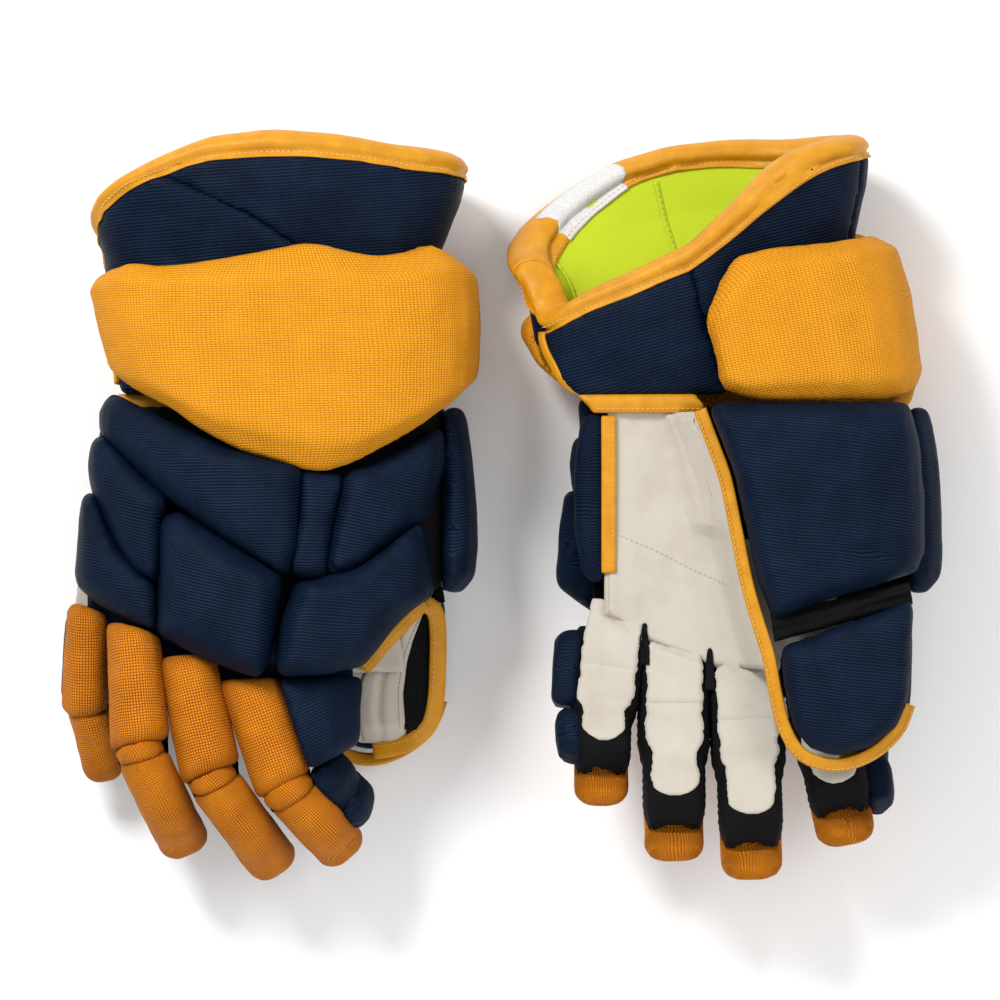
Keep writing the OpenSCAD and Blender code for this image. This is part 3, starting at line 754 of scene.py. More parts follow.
def laid(tree, side, path, lift=0.0, fallback=20.0):
    """A path of (x, y) in the glove's frame, laid on a surface from the palm's side."""
    sign = -DORSAL[side]
    places, ups = [], []
    for x, y in path:
        start = glove_point(side, x, y, GLOVE_H / 2) + np.array([0, 0, sign * RAY_START])
        hit, normal, _, _ = tree.ray_cast(Vector(start), Vector((0, 0, -sign)))
        if hit is None:
            hit, normal = glove_point(side, x, y, fallback), (0, 0, sign)
        places.append(np.array(hit))
        ups.append(np.array(normal) * (1 if normal[2] * sign > 0 else -1))
    ups = steadied(np.array(ups))
    return np.array(places) + lift * MM * ups, ups


def steadied(rows):
    """Unit vectors along a path, evened out between neighbours."""
    for _ in range(3):
        rows = np.vstack([rows[:1], (rows[:-2] + 2 * rows[1:-1] + rows[2:]) / 4, rows[-1:]])
    return rows / np.maximum(np.linalg.norm(rows, axis=1)[:, None], 1e-9)


def tangents(places):
    return steadied(np.gradient(places, axis=0))


# ------------------------------------------------------------------ tape, thread and sheets

# Section of a tape, as shares of its width and its thickness.
TAPE_SECTION = [(-0.5, 0.0), (-0.49, 0.55), (-0.42, 0.92), (-0.2, 1.0), (0.2, 1.0),
                (0.42, 0.92), (0.49, 0.55), (0.5, 0.0), (0.3, -0.25), (-0.3, -0.25)]


def tube_faces(rings, sides, base=0):
    """Faces of a tube with closed ends, from rings of points that start at index base."""
    faces = []
    for i in range(rings - 1):
        a, b = base + i * sides, base + (i + 1) * sides
        faces += [(a + j, a + (j + 1) % sides, b + (j + 1) % sides, b + j) for j in range(sides)]
    last = base + (rings - 1) * sides
    return faces + [tuple(base + j for j in range(sides))[::-1], tuple(last + j for j in range(sides))]


def tape(name, places, ups, width, thick, look, body=None):
    """A flat tape with rounded edges along a path; ups point away from what it is sewn to."""
    ahead = tangents(places)
    side = np.cross(ahead, ups)
    side /= np.linalg.norm(side, axis=1)[:, None]
    co = np.array([p + s * x * width * MM + u * y * thick * MM
                   for p, s, u in zip(places, side, ups) for x, y in TAPE_SECTION])
    uv = np.array([(x * width, run) for run in lengths(places) / MM for x, _ in TAPE_SECTION])
    return placed(name, co, tube_faces(len(places), len(TAPE_SECTION)), uv, look, body)


# Rings of a stitch: place along its length, then radius and height over the cloth, both times its radius.
STITCH_RINGS = [(-0.5, 0.35, -0.25), (-0.3, 0.9, 0.35), (0.0, 1.0, 0.6), (0.3, 0.9, 0.35), (0.5, 0.35, -0.25)]
STITCH_SIDES = 6


def stitches(name, places, ups, look, body=None, pitch=2.5, long=1.75, radius=0.3):
    """A row of short thread stitches whose ends dip into the surface."""
    run = lengths(places) / MM
    ahead = tangents(places)
    co, faces = [], []
    for place in np.arange(pitch / 2, run[-1] - pitch / 2, pitch):
        mid, up, along = (np.array([np.interp(place, run, v[:, k]) for k in range(3)])
                          for v in (places, ups, ahead))
        along, up = unit(along), unit(up)
        side = np.cross(along, up)
        faces += tube_faces(len(STITCH_RINGS), STITCH_SIDES, len(co))
        for t, r, h in STITCH_RINGS:
            centre = mid + along * t * long * MM + up * h * radius * MM
            co += [centre + (side * math.cos(a) + up * math.sin(a)) * r * radius * MM
                   for a in np.linspace(0, 2 * math.pi, STITCH_SIDES, endpoint=False)]
    return placed(name, co, faces, np.zeros((len(co), 2)), look, body)


def grid_normals(grid):
    du, dv = np.gradient(grid, axis=1), np.gradient(grid, axis=0)
    normal = np.cross(du, dv)
    return normal / np.maximum(np.linalg.norm(normal, axis=2)[..., None], 1e-12)


def sheet(name, grid, thick, look, out, body=None, trim=False):
    """Cloth or leather from a grid of points on its outer face; out is roughly its outward direction.
    A trim is a narrow inset."""
    grid = np.asarray(grid)
    rows, cols = grid.shape[:2]
    normal = grid_normals(grid)
    if (normal @ np.asarray(out)).mean() < 0:
        normal = -normal
    rim = np.ones((rows, cols))
    rim[0] = rim[-1] = 0.4
    rim[:, 0] = rim[:, -1] = 0.4
    inner = grid - normal * thick * MM * (0.5 + 0.5 * rim[..., None])
    outer = grid - normal * thick * MM * (0.5 - 0.5 * rim[..., None])
    co = np.concatenate([outer.reshape(-1, 3), inner.reshape(-1, 3)])
    count = rows * cols
    cells = [(i * cols + j, i * cols + j + 1, (i + 1) * cols + j + 1, (i + 1) * cols + j)
             for i in range(rows - 1) for j in range(cols - 1)]
    faces = cells + [tuple(count + k for k in f[::-1]) for f in cells]
    loop = ([(0, j) for j in range(cols)] + [(i, cols - 1) for i in range(1, rows)]
            + [(rows - 1, j) for j in range(cols - 2, -1, -1)] + [(i, 0) for i in range(rows - 2, 0, -1)])
    ring = [i * cols + j for i, j in loop]
    faces += [(b, a, count + a, count + b) for a, b in zip(ring, ring[1:] + ring[:1])]
    u = np.array([lengths(row) for row in grid]) / MM
    v = np.array([lengths(grid[:, k]) for k in range(cols)]).T / MM
    uv = np.tile(np.stack([u, v], -1).reshape(-1, 2), (2, 1))
    obj = placed(name, co, faces, uv, look, body)
    flip_outward(obj)
    if trim:
        return obj
    a, b, c, d = grid[:-1, :-1], grid[:-1, 1:], grid[1:, 1:], grid[1:, :-1]
    area = np.linalg.norm(np.cross(c - a, d - b), axis=2).sum() / 2
    return obj


def flip_outward(obj):
    """Turns a closed mesh right side out."""
    mesh = bmesh.new()
    mesh.from_mesh(obj.data)
    bmesh.ops.recalc_face_normals(mesh, faces=mesh.faces)
    mesh.to_mesh(obj.data)
    mesh.free()


# ------------------------------------------------------------------ palm

# Centre line of the binding between the palm leather and the thumb, and how high it lies.
THUMB_BINDING = [(-16, 46, 22), (-10, 30, 20), (-4, 13, 18), (1, -11, 16), (6, -36, 14), (11, -54, 13),
                 (16.5, -72, 12), (19.5, -88, 12), (23.5, -104, 12), (31, -117, 12), (43, -122.5, 12),
                 (55, -122, 12), (68, -116, 12), (78, -106, 12), (83, -94, 13)]
# The palm leather's heel edge and little-finger edge, and its ends at the fingers' roots, (X, Y).
HEEL_Y = 45
EDGE_X = -64
ROOTS = {"right": [(-67, -58), (-63, -59.5), (-38, -71.5), (-24, -77), (-9, -79.5), (14, -80.5)],
         "left": [(-67, -52), (-55, -56.5), (-45, -63), (-28, -71), (-8, -78), (14, -79.5)]}


def look_up(x, table):
    xs, ys = zip(*sorted(table))
    return float(np.interp(x, xs, ys))


def build_palms():
    for side in SIDES:
        palm = tree_of(f"{side}_palm_skin")
        binding = sorted((y, x, z) for x, y, z in THUMB_BINDING[:8])
        ys, xs, zs = zip(*binding)
        grid = []
        for row in np.linspace(0, 1, 40):
            line = []
            for t in np.linspace(0, 1, 34):
                y = HEEL_Y * (1 - row)
                for _ in range(3):
                    edge = float(np.interp(y, ys, xs))
                    x = EDGE_X + (edge - EDGE_X) * t
                    y = HEEL_Y + (look_up(x, ROOTS[side]) + 1.5 - HEEL_Y) * row
                level = palm_level(palm, side, min(x, edge - 15), y) - 0.9
                drop = smooth_step((x - edge + 15) / 15)
                crease = 0.9 * noise.noise(Vector((x / 11, y / 24, 3.0 if side == "left" else 9.0)))
                z = level + (float(np.interp(y, ys, zs)) + 1 - level) * drop - abs(crease) * (1 - drop)
                line.append(glove_point(side, x, y, z))
            grid.append(line)
        obj = sheet(f"{side}_palm_leather", grid, 1.2, "cream_leather",
                    palmward(side))
        start = glove_point(side, -16, -16, 30)
        end = start + glove_vector(side, 0.96, 0.28, 0) * 15 * MM
        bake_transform(obj)
        palm_seams(side)


def palm_level(tree, side, x, y):
    """Height of the palm's outer face in the glove's frame."""
    places, _ = laid(tree, side, [(x, y)], fallback=38)
    hinge = JOINTS[f"{side}_thumb_swing"]["pos_m"]
    return (places[0][2] - hinge[2]) / MM * DORSAL[side] + HINGE[2]


def palm_seams(side):
    """Stitched seams across the palm leather, and along its edge tape."""
    leather = tree_of(f"{side}_palm_leather")
    for k, path in enumerate([[(-57, -14), (-40, -20), (-20, -30), (-2, -38)],
                              [(-28, 43), (-25, 34), (-20, 26), (-14, 15), (-10, 4)]]):
        places, ups = laid(leather, side, curve(path, 1.5), lift=0.05)
        stitches(f"{side}_palm_seam_{k}", places, ups, CREAM_THREAD, f"{side}_hand", pitch=2.6, radius=0.26)
    edge = tree_of(f"{side}_palm_binding_skin")
    for k, path in enumerate([[(-61, 42), (-61, -30)], [(-71, 46.6), (-15, 46.6)]]):
        places, ups = laid(edge, side, curve(path, 1.5), lift=0.05)
        stitches(f"{side}_palm_edge_stitch_{k}", places, ups, GOLD_THREAD, f"{side}_hand", pitch=2.4)


# ------------------------------------------------------------------ fingers

def nose_rise(share):
    """How far a fingertip's palm side curls up, in millimetres, at a share of the way along its nose."""
    return 14 * share ** 2.6


class Finger:
    """The palm-side line of a finger, from behind its knuckle to its tip."""

    def __init__(self, side, finger):
        self.side, self.name = side, finger
        self.knuckle = np.array(JOINTS[f"{side}_{finger}_knuckle_flex"]["pos_m"])
        self.middle = np.array(JOINTS[f"{side}_{finger}_tip_flex"]["pos_m"])
        _, _, self.first, _ = finger_frame(side, finger, False)
        _, _, self.second, _ = finger_frame(side, finger, True)
        self.length = np.linalg.norm(self.middle - self.knuckle) / MM
        flat = unit([self.first[0], self.first[1], 0])
        self.onto_hand = unit(flat * 0.8 + np.array([0, 0.6, 0]) * -1)
        stall, _ = node_mesh(f"{side}_{finger}_tip_stall")
        self.reach = ((stall - self.middle) @ self.second).max() / MM
        root, _ = node_mesh(f"{side}_{finger}_knuckle_stall")
        across = unit(np.cross(self.first, [0, 0, 1]))
        self.half = {False: np.ptp((root - self.knuckle) @ across) / 2 / MM,
                     True: np.ptp((stall - self.middle) @ unit(np.cross(self.second, [0, 0, 1]))) / 2 / MM}

    def direction(self, s):
        """The way the finger runs at s millimetres from the knuckle."""
        a = smooth_step((s + 5) / 8)
        b = smooth_step((s - self.length + 5) / 10)
        return unit(self.onto_hand * (1 - a) + self.first * a * (1 - b) + self.second * b)

    def place(self, s):
        if s < 0:
            return self.knuckle + self.onto_hand * s * MM
        if s < self.length:
            return self.knuckle + self.first * s * MM
        beyond = s - self.length
        nose = max(0.0, beyond / self.reach - 0.55) / 0.45
        return self.middle + self.second * beyond * MM + self.out(s) * nose_rise(nose) * MM

    def across(self, s):
        side = unit(np.cross(self.direction(s), [0, 0, 1]))
        return side * thumb_sign(side)

    def out(self, s):
        """Away from the palm side."""
        up = unit(np.cross(self.across(s), self.direction(s)))
        return up if up[2] * DORSAL[self.side] > 0 else -up

    def half_width(self, s):
        blend = smooth_step((s - self.length + 4) / 8)
        return self.half[False] * (1 - blend) + self.half[True] * blend


SETTLE_CAP = 3.5 * MM    # how far a point may move to meet the surface


def settled(row, tree, side, share, lift):
    """Moves a row of points on to the surface under them, as seen from the palm's side."""
    out = np.array([0, 0, -DORSAL[side]])
    moved = []
    for point in row:
        hit, _, _, _ = tree.ray_cast(Vector(point + out * 60 * MM), Vector(-out))
        shift = np.zeros(3) if hit is None else np.array(hit) + out * lift * MM - point
        moved.append(point + share * np.clip(shift, -SETTLE_CAP, SETTLE_CAP))
    return moved


def strip_rows(finger, start, end, joint, leather=None):
    """Rows of points across a finger's palm side, with uneven edges. They rise out of the palm
    leather and dip at the joint between two strips."""
    rows = []
    seed = 10 * FINGERS.index(finger.name) + (3 if finger.side == "left" else 50)
    for s in np.arange(start, end + 0.01, 1.3):
        half = (finger.half_width(s) - 0.4) * (1 - 0.14 * smooth_step((-s - 2) / 7))
        sunk = 0.8 * (1 - smooth_step(abs(s - joint) / 2.6))
        edge = [half + 1.3 * noise.noise(Vector((s / 6, seed + k, 0.5)))
                + 0.8 * noise.noise(Vector((s / 2.2, k, seed))) for k in (0, 7)]
        row = [finger.place(s) + finger.across(s) * x * MM - finger.out(s) * (1.9 - sunk - 0.004 * x * x) * MM
               for x in np.linspace(-edge[0], edge[1], 13)]
        if leather and s < 3:
            lift = 0.25 - 2 * smooth_step((-s - 2) / 5)
            row = settled(row, leather, finger.side, smooth_step((3 - s) / 7), lift)
        rows.append(row)
    return np.array(rows)


def rounded_end(rows, length):
    """Narrows the last rows of a strip into a round end."""
    middle = rows.shape[1] // 2
    spacing = np.linalg.norm(rows[1, middle] - rows[0, middle])
    count = int(length * MM / spacing)
    for i in range(count):
        k = len(rows) - count + i
        share = math.sqrt(max(0.05, 1 - ((i + 1) / count) ** 2))
        rows[k] = rows[k, middle] + (rows[k] - rows[k, middle]) * share
    return rows


def build_fingers():
    for side in SIDES:
        leather = tree_of(f"{side}_palm_leather", f"{side}_palm_skin")
        for name in FINGERS:
            finger = Finger(side, name)
            split = finger.length * 0.5
            end = finger.length + finger.reach * 0.76
            near = finger.place(-4), finger.place(5)
            far = finger.place(finger.length - 5), finger.place(finger.length + 5)
            out = -finger.out(0)
            knit_sleeve(finger, "root", 1 if name == "pinky" else -4, split + 0.7)
            knit_sleeve(finger, "tip", split, finger.length + finger.reach)
            rows = strip_rows(finger, -13, split + 0.9, split, leather)
            root = sheet(f"{side}_{name}_palm_strip", rows, 0.9, "cream_leather", out)
            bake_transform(root)
            rows = rounded_end(strip_rows(finger, split - 0.9, end, split), 9)
            strip = sheet(f"{side}_{name}_tip_strip", rows, 0.9, "cream_leather", out)
            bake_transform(strip)
        slots_between_fingers(side)
        knuckle_flange(side)


# How far the knit stands out beside the palm side of a finger, in millimetres.
KNIT_EASE = {"left": 2.9, "right": 1.3}


def knit_sleeve(finger, where, start, end):
    """Stretch knit round the palm side and the walls of a finger, across a joint."""
    ease = KNIT_EASE[finger.side]
    rows = []
    for s in np.linspace(start, end, int((end - start) / 1.6)):
        nose = max(0.0, (s - finger.length) / finger.reach - 0.6) / 0.4
        sunk = 4.5 * (1 - smooth_step((s + 4) / 5))
        w = (finger.half_width(s) + ease - 0.5 * sunk) * (1 - 0.22 * nose ** 2)
        pleat = 0.3 * math.cos(s * 1.5) * (1 - nose)
        half = [(w + 0.3 * ease, 21.5), (w + 0.1 * ease, 15), (w, 8),
                (w - 1.3, 3.4), (w - 4.2, 0.6), (w / 2, -0.2)]
        section = [(-x, z) for x, z in half] + [(0, -0.4)] + half[::-1]
        base = nose_rise(nose)
        rows.append([finger.place(s) + finger.across(s) * x * (1 + pleat / w) * MM
                     + finger.out(s) * (max(z - base, 0.4 * z) * (1 - 0.1 * sunk) - 0.6 + sunk) * MM
                     for x, z in section])
    name = f"{finger.side}_{finger.name}_{where}_knit"
    obj = sheet(name, rows, 0.7, "black_knit", -finger.out((start + end) / 2))
    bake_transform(obj)


def slots_between_fingers(side):
    """Black knit showing in the slots of the palm leather, between neighbouring fingers."""
    leather = tree_of(f"{side}_palm_leather", *(f"{side}_{name}_palm_strip" for name in FINGERS))
    fingers = [Finger(side, name) for name in FINGERS]
    origin = glove_point(side, 0, 0, 0)
    for a, b in zip(fingers, fingers[1:]):
        middle = ((a.knuckle + b.knuckle) / 2 - origin) / MM
        rows = []
        for t in np.linspace(0, 1, 20):
            y = middle[1] + 10 - 20 * t
            half = 0.7 + 1.9 * math.sqrt(t) + 0.6 * noise.noise(Vector((y / 3, middle[0], 2.0)))
            across = [(middle[0] + half * k, y) for k in np.linspace(-1, 1, 7)]
            places, ups = laid(leather, side, across, fallback=middle[2] * DORSAL[side] + 0.5)
            rows.append(places + 1.1 * MM * ups)
        sheet(f"{side}_{a.name}_{b.name}_slot", rows, 0.8, "black_knit",
              palmward(side), f"{side}_hand", trim=True)


def knuckle_flange(side):
    """Navy fabric between the backhand pads and the finger rolls, on the back of the hand."""
    origin = glove_point(side, 0, 0, 0)
    knots = np.array([(Finger(side, name).knuckle - origin) / MM for name in FINGERS])
    knots[:, 2] *= DORSAL[side]
    rows = []
    far = (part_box(f"{side}_index_knuckle_roll")[1][0] - origin[0]) / MM - 4
    for x in np.linspace(knots[0, 0] - 1, far, 46):
        y, z = (float(np.interp(x, knots[:, 0], knots[:, k])) for k in (1, 2))
        board = 83.5 - 26 * ((x - 5) / 90) ** 2
        section = ((22, board), (16, board), (10, board - 0.5), (4, (board + z + 27) / 2),
                   (-2, z + 26.5), (-7, z + 26))
        rows.append([origin + np.array([x, y + ahead, DORSAL[side] * height]) * MM
                     for ahead, height in section])
    sheet(f"{side}_knuckle_flange", rows, 1.2, "navy_fabric", glove_vector(side, 0, 0, 1),
          f"{side}_hand")


# ------------------------------------------------------------------ thumb

def build_thumbs():
    for side in SIDES:
        path = curve(THUMB_BINDING, 2.0)
        places = np.array([glove_point(side, *p) for p in path])
        ahead = tangents(places)
        outward = np.cross(ahead, palmward(side))
        away = np.sign((outward @ glove_vector(side, -1, -0.4, 0)).mean())
        ups = np.array([unit(palmward(side) + 0.35 * away * o) for o in outward])
        band = tape(f"{side}_thumb_binding", places, ups, 6.6, 1.5, "gold_binding")
        join = (glove_point(side, 12, -52, 0), glove_point(side, 15, -66, 0))
        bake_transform(band)
        row = places + away * outward * 1.6 * MM + ups * 1.45 * MM
        seam = stitches(f"{side}_thumb_binding_stitch", row, ups, GOLD_THREAD, radius=0.3, pitch=2.4)
        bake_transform(seam)
        flex_band(side)
        thumb_web(side)


def flex_band(side):
    """Pleated black elastic across the thumb's joint."""
    rows = []
    for t in np.linspace(0, 1, 18):
        line = []
        for u in np.linspace(0, 1, 40):
            pleat = 1.1 * math.sin(t * math.pi * 4) * (0.7 + 0.3 * math.sin(9 * u))
            height = 10 + pleat + noise.noise(Vector((9 * u, 4 * t, 1))) + 4 * abs(2 * t - 1) ** 3
            line.append(glove_point(side, 17 + 66 * u + 2 * t, -51 + 15 * u - t * (14 - 3 * u), height))
        rows.append(line)
    band = sheet(f"{side}_thumb_elastic", rows, 1.2, "black_knit", palmward(side))
    glove_point(side, 50, -40, 9)
    glove_point(side, 52, -56, 9)
    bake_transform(band)


# Middle line of the tape round the opening in the thumb's back, from its root to its nose.
WEB_RING = [(74, -46, 39), (80, -51, 37), (81.5, -62, 36), (81.3, -78, 35.5), (80.5, -93, 34.5),
            (77.5, -105, 32), (70, -113, 29), (60, -117, 25), (50, -118.5, 22)]
# Middle line of the tape along the opening's inner edge, on the hand.
WEB_LEG = [(46, -79, 43), (55, -68, 45), (66, -56, 46), (76, -46, 44)]
# Section of the stall's side wall: how far out of the tape's middle, and the share of the way down.
WALL_SECTION = ((3.4, 0), (3.9, 0.3), (3.6, 0.6), (2, 1))
# Left edge of the black gusset: distance along Y, and X.
GUSSET_EDGE = [(-48, 75.5), (-56, 72.5), (-65, 69), (-75, 66.5), (-90, 64.5), (-108, 65.5)]


def thumb_web(side):
    """The back of the thumb's stall: tape round its opening, a gusset, a leather fold and a side wall."""
    tip, up = f"{side}_thumb_tip", glove_vector(side, 0.3, 0, 1)
    ring = curve(WEB_RING, 2.0)
    places = np.array([glove_point(side, *p) for p in ring])
    ups = np.array([up] * len(places))
    tape(f"{side}_web_binding", places, ups, 8.5, 1.6, "gold_binding", tip)
    inward = np.cross(tangents(places), ups)
    inward *= -np.sign((inward @ glove_vector(side, 1, 0, 0)).mean())
    row = places + inward * 2.6 * MM + ups * 1.55 * MM
    stitches(f"{side}_web_stitch", row, ups, GOLD_THREAD, tip, pitch=2.4)
    leg = curve([glove_point(side, *p) for p in WEB_LEG], 2 * MM)
    leg_up = np.array([glove_vector(side, 0.15, -0.3, 1)] * len(leg))
    tape(f"{side}_web_leg", leg, leg_up, 6.5, 1.5, "gold_binding", f"{side}_hand")
    row = leg + leg_up * 1.5 * MM
    stitches(f"{side}_web_leg_stitch", row, leg_up, GOLD_THREAD, f"{side}_hand", pitch=2.4)
    down = palmward(side)
    wall = [[place - o * out * MM + down * share * (height - 13) * MM for out, share in WALL_SECTION]
            for place, o, (_, _, height) in zip(places, inward, ring)]
    sheet(f"{side}_web_wall", wall, 1.0, "navy_fabric", glove_vector(side, 1, -0.3, 0), tip)
    rows = []
    for y in np.linspace(-48, -108, 30):
        left, right = look_up(y, GUSSET_EDGE), look_up(y, [(-48, 78.5), (-95, 78), (-102, 75.5), (-108, 71)])
        rows.append([glove_point(side, left + (right - left) * u, y, 34.4) for u in np.linspace(0, 1, 10)])
    sheet(f"{side}_web_gusset", rows, 0.8, "black_knit", glove_vector(side, 0, 0, 1), tip)
    web_fold(side, tip)


def web_fold(side, body):
    """A soft fold of leather beside the gusset, narrow at its top, with a stitched edge."""
    rows = []
    for y in np.linspace(-47, -115, 34):
        right = look_up(y, GUSSET_EDGE) + 0.8
        left = look_up(y, [(-47, 71), (-58, 60), (-70, 50), (-85, 44), (-100, 42), (-113, 45)])
        line = []
        for u in np.linspace(0, 1, 16):
            bulge = 2.6 * math.sin(math.pi * u) ** 0.8 - 1.8 * math.exp(-((u - 0.45) / 0.09) ** 2)
            crease = 0.5 * noise.noise(Vector((u * 3, y / 14, 7.0)))
            height = 34.2 + bulge + crease - 9 * max(0, -y - 106) / 7
            line.append(glove_point(side, left + (right - left) * u, y, height))
        rows.append(line)
    rows = np.array(rows)
    sheet(f"{side}_web_fold", rows, 1.1, "cream_leather", glove_vector(side, 0, 0, 1), body)
    edge = rows[2:-3, 13]
    ups = np.array([glove_vector(side, 0.4, 0, 1)] * len(edge))
    row = edge + ups * 0.15 * MM
    stitches(f"{side}_web_fold_stitch", row, ups, CREAM_THREAD, body, pitch=2.2, radius=0.26)


# ------------------------------------------------------------------ cuff

class Rim:
    """The cuff's binding, cut by planes through the cuff's middle."""

    def __init__(self, side):
        self.side = side
        self.tree = tree_of(*(f"{side}_cuff_{part}" for part in ("binding", "roll", "palm_panel", "liner")))
        co, _ = arrays(bpy.data.objects[f"{side}_cuff_binding_skin"].data)
        bend = CUFF_BEND[side]
        self.along = np.array([-math.sin(bend), math.cos(bend), 0])
        self.wide = np.array([math.cos(bend), math.sin(bend), 0])
        self.up = np.array([0, 0, DORSAL[side]])
        self.centre = (co.max(0) + co.min(0)) / 2
        d = co - self.centre
        self.co, self.angle = co, np.arctan2(d @ self.up / 0.55, d @ self.wide)

    def radial(self, angle):
        return unit(self.wide * math.cos(angle) + self.up * math.sin(angle) * 0.55)

    def core(self, angle):
        """Middle of the binding's section at an angle."""
        gap = np.abs((self.angle - angle + math.pi) % (2 * math.pi) - math.pi)
        near = self.co[gap < 0.035]
        return (near.max(0) + near.min(0)) / 2

    def point(self, angle, turn, depth=0.0, lift=0.0):
        """On the skin, turn radians from the outer face (0) over the top (pi / 2) to the lining (pi)."""
        out = unit(self.radial(angle) * math.cos(turn) + self.along * math.sin(turn))
        start = self.core(angle) - self.along * depth * MM + out * 30 * MM
        hit, _, _, _ = self.tree.ray_cast(Vector(start), Vector(-out))
        if hit is None:
            return None
        return np.array(hit) + lift * MM * out, out


# Places across the rim tape: turn over the rim, and depth below the middle of the binding in millimetres.
TAPE_DEPTHS = (6.6, 6.2, 4.6, 3, 1.5, 0.3)
TAPE_ACROSS = ([(0.0, d) for d in TAPE_DEPTHS] + [(t, 0) for t in (0.35, 0.8, 1.2, 1.57, 1.94, 2.34, 2.8)]
               + [(math.pi, d) for d in TAPE_DEPTHS[::-1]])


def build_cuffs():
    for side in SIDES:
        rim = Rim(side)
        rows, ups = rim_rows(rim)
        sheet(f"{side}_rim_tape", rows, 1.3, "gold_binding", rim.along, f"{side}_cuff")
        for where, column in (("outer", 2), ("inner", len(TAPE_ACROSS) - 3)):
            up = ups[:, column]
            stitches(f"{side}_rim_stitch_{where}", rows[:, column] + 0.1 * MM * up, steadied(up),
                     GOLD_THREAD, f"{side}_cuff", pitch=2.6, long=1.9, radius=0.38)
        rim_label(rim, rows, ups)
        liner_seams(rim)
        panel_piping(rim)


# Millimetres: least height of the tape over what it is sewn to, and the most it is pushed out for it.
RIM_CLEAR = 1.9
RIM_PUSH = 3.0


def evened(rows):
    """A closed loop of rows, each moved towards the mean of its neighbours."""
    return (np.roll(rows, 1, 0) + 2 * rows + np.roll(rows, -1, 0)) / 4


def rim_rows(rim, count=300):
    """Rows of points folded over the rim, evened out along it, and their outward directions."""
    angles = np.linspace(-math.pi, math.pi, count + 1)[:-1]
    rows = np.full((count, len(TAPE_ACROSS), 3), np.nan)
    ups = np.zeros_like(rows)
    for i, angle in enumerate(angles):
        for k, (turn, depth) in enumerate(TAPE_ACROSS):
            found = rim.point(angle, turn, depth, 1.3)
            if found is not None:
                rows[i, k], ups[i, k] = found
    for k in range(rows.shape[1]):
        seen = ~np.isnan(rows[:, k, 0])
        for axis in range(3):
            rows[:, k, axis] = np.interp(angles, angles[seen], rows[seen, k, axis], period=2 * math.pi)
            ups[:, k, axis] = np.interp(angles, angles[seen], ups[seen, k, axis], period=2 * math.pi)
    rows = np.median([np.roll(rows, k, 0) for k in range(-4, 5)], axis=0)
    for _ in range(6):
        rows = evened(rows)
    rows[:, 1:-1] = 0.5 * rows[:, 1:-1] + 0.25 * (rows[:, :-2] + rows[:, 2:])
    for i in range(count):
        for k in range(rows.shape[1]):
            out = unit(ups[i, k])
            hit, _, _, _ = rim.tree.ray_cast(Vector(rows[i, k] + out * 12 * MM), Vector(-out))
            if hit is not None:
                short = RIM_CLEAR * MM - (rows[i, k] - np.array(hit)) @ out
                rows[i, k] += out * min(max(0.0, short), RIM_PUSH * MM)
    for _ in range(2):
        rows = evened(rows)
    close = np.concatenate([np.arange(count), [0]])
    return rows[close], ups[close]


def liner_seams(rim):
    """Raised seams in the lining, from the rim down into the cuff."""
    side = rim.side
    liner = tree_of(f"{side}_cuff_liner_skin")
    for k, angle in enumerate((0.75, 1.75, 2.75)):
        out = rim.radial(angle)
        rim_y = (rim.core(angle) - rim.centre) @ rim.along
        found = []
        for depth in np.arange(9, 62, 2.0):
            start = rim.centre + rim.along * (rim_y - depth * MM) + out * 10 * MM
            hit, _, _, _ = liner.ray_cast(Vector(start), Vector(out))
            if hit is not None:
                found.append(np.array(hit) - out * 0.3 * MM)
        ups = np.array([-out] * len(found))
        tape(f"{side}_liner_seam_{k}", np.array(found), ups, 2.6, 0.9, "lime_lining", f"{side}_cuff")
        stitches(f"{side}_liner_stitch_{k}", np.array(found) - out * 0.8 * MM, ups, LIME_THREAD,
                 f"{side}_cuff", pitch=3)


def panel_piping(rim):
    """Narrow gold tape down the little-finger edge of the cuff's palm panel."""
    side = rim.side
    panels = [obj for obj in bpy.context.scene.objects if obj.name.startswith(f"{side}_cuff_palm_panel_")]
    co, _ = arrays(min(panels, key=lambda obj: (arrays(obj.data)[0] @ rim.along).min()).data)
    reach = co @ rim.along
    line = []
    for place in np.linspace(reach.min() + 4 * MM, reach.max() - 16 * MM, 24):
        near = co[np.abs(reach - place) < 2 * MM]
        line.append(near[np.argmin(near @ rim.wide)])
    line = np.array(line)
    for _ in range(8):
        line[1:-1] = (line[:-2] + 2 * line[1:-1] + line[2:]) / 4
    out = unit(-rim.wide + 0.8 * palmward(side))
    line = curve(line, 2 * MM)
    tape(f"{side}_panel_piping", line + 0.6 * MM * out, np.array([out] * len(line)), 4.5, 1.4,
         "gold_binding", f"{side}_cuff")


LABEL_ENDS = (2.0, 2.55)    # angles round the rim


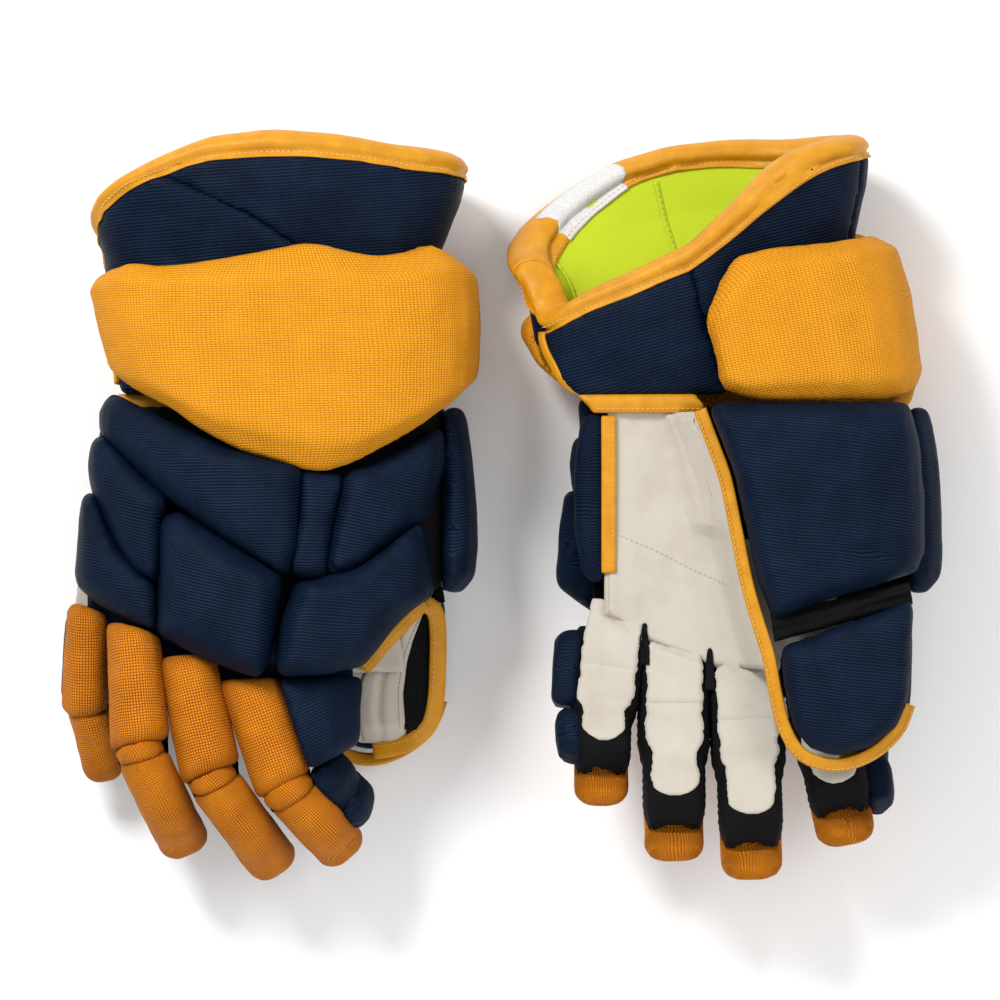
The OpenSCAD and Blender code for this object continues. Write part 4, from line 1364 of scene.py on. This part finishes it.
def rim_label(rim, rows, ups):
    """A plain satin label folded over the back of the rim, on the little-finger side."""
    first, last = (int((angle + math.pi) / (2 * math.pi) * (len(rows) - 1)) for angle in LABEL_ENDS)
    top = TAPE_ACROSS.index((1.57, 0))
    patch = (rows + 0.5 * MM * ups)[first:last + 1, top:]
    sheet(f"{rim.side}_cuff_label", patch, 0.5, SATIN, rim.along, f"{rim.side}_cuff")


# ------------------------------------------------------------------ stage

# Name, place, width and power of each soft light.
LIGHTS = [("key", (-0.8, 1.1, 1.5), 0.6, 34), ("fill", (1.2, 0.2, 1.6), 1.2, 10),
          ("rim", (0.1, -1.4, 1.3), 1.0, 8)]
LIT_POINT = (0, 0, 0.05)


def area_light(name, place, size, power):
    data = bpy.data.lights.new(name, "AREA")
    data.shape = "DISK"
    data.size = size
    data.energy = power
    light = linked(name, data)
    light.location = place
    light.rotation_euler = (Vector(LIT_POINT) - Vector(place)).to_track_quat("-Z", "Y").to_euler()


def build_stage():
    corners = [(-3, -3, 0), (3, -3, 0), (3, 3, 0), (-3, 3, 0)]
    floor = new_object("floor", corners, [(0, 1, 2, 3)], smooth=False)
    floor.location.z = CAD_BOX[0][2] - 0.5 * MM
    n = Nodes("pale_floor", Roughness=0.9)
    n.shader.inputs["Base Color"].default_value = (0.93, 0.93, 0.93, 1)
    floor.data.materials.append(n.material)
    world = bpy.data.worlds.new("studio")
    world.use_nodes = True
    sky = world.node_tree.nodes["Background"]
    sky.inputs["Color"].default_value = (1, 1, 1, 1)
    sky.inputs["Strength"].default_value = 0.6
    bpy.context.scene.world = world
    for name, place, size, power in LIGHTS:
        area_light(name, place, size, power)


CAMERA_HEIGHT = 4.06
CAMERA_OFFSET = (0.7 * MM, 3.9 * MM)    # from over the middle of the pair


def build_camera():
    """Straight down, framed on the pair with a margin all round."""
    data = bpy.data.cameras.new("camera")
    data.sensor_width = 36
    data.lens = 300
    camera = linked("camera", data)
    low, high = CAD_BOX
    aside, ahead = CAMERA_OFFSET
    camera.location = ((low[0] + high[0]) / 2 + aside, (low[1] + high[1]) / 2 + ahead, CAMERA_HEIGHT)
    bpy.context.scene.camera = camera


build_camera()
build_stage()
build_pads()
build_skins()
build_palms()
build_fingers()
build_thumbs()
build_cuffs()

bpy.context.scene.view_settings.view_transform = "Standard"
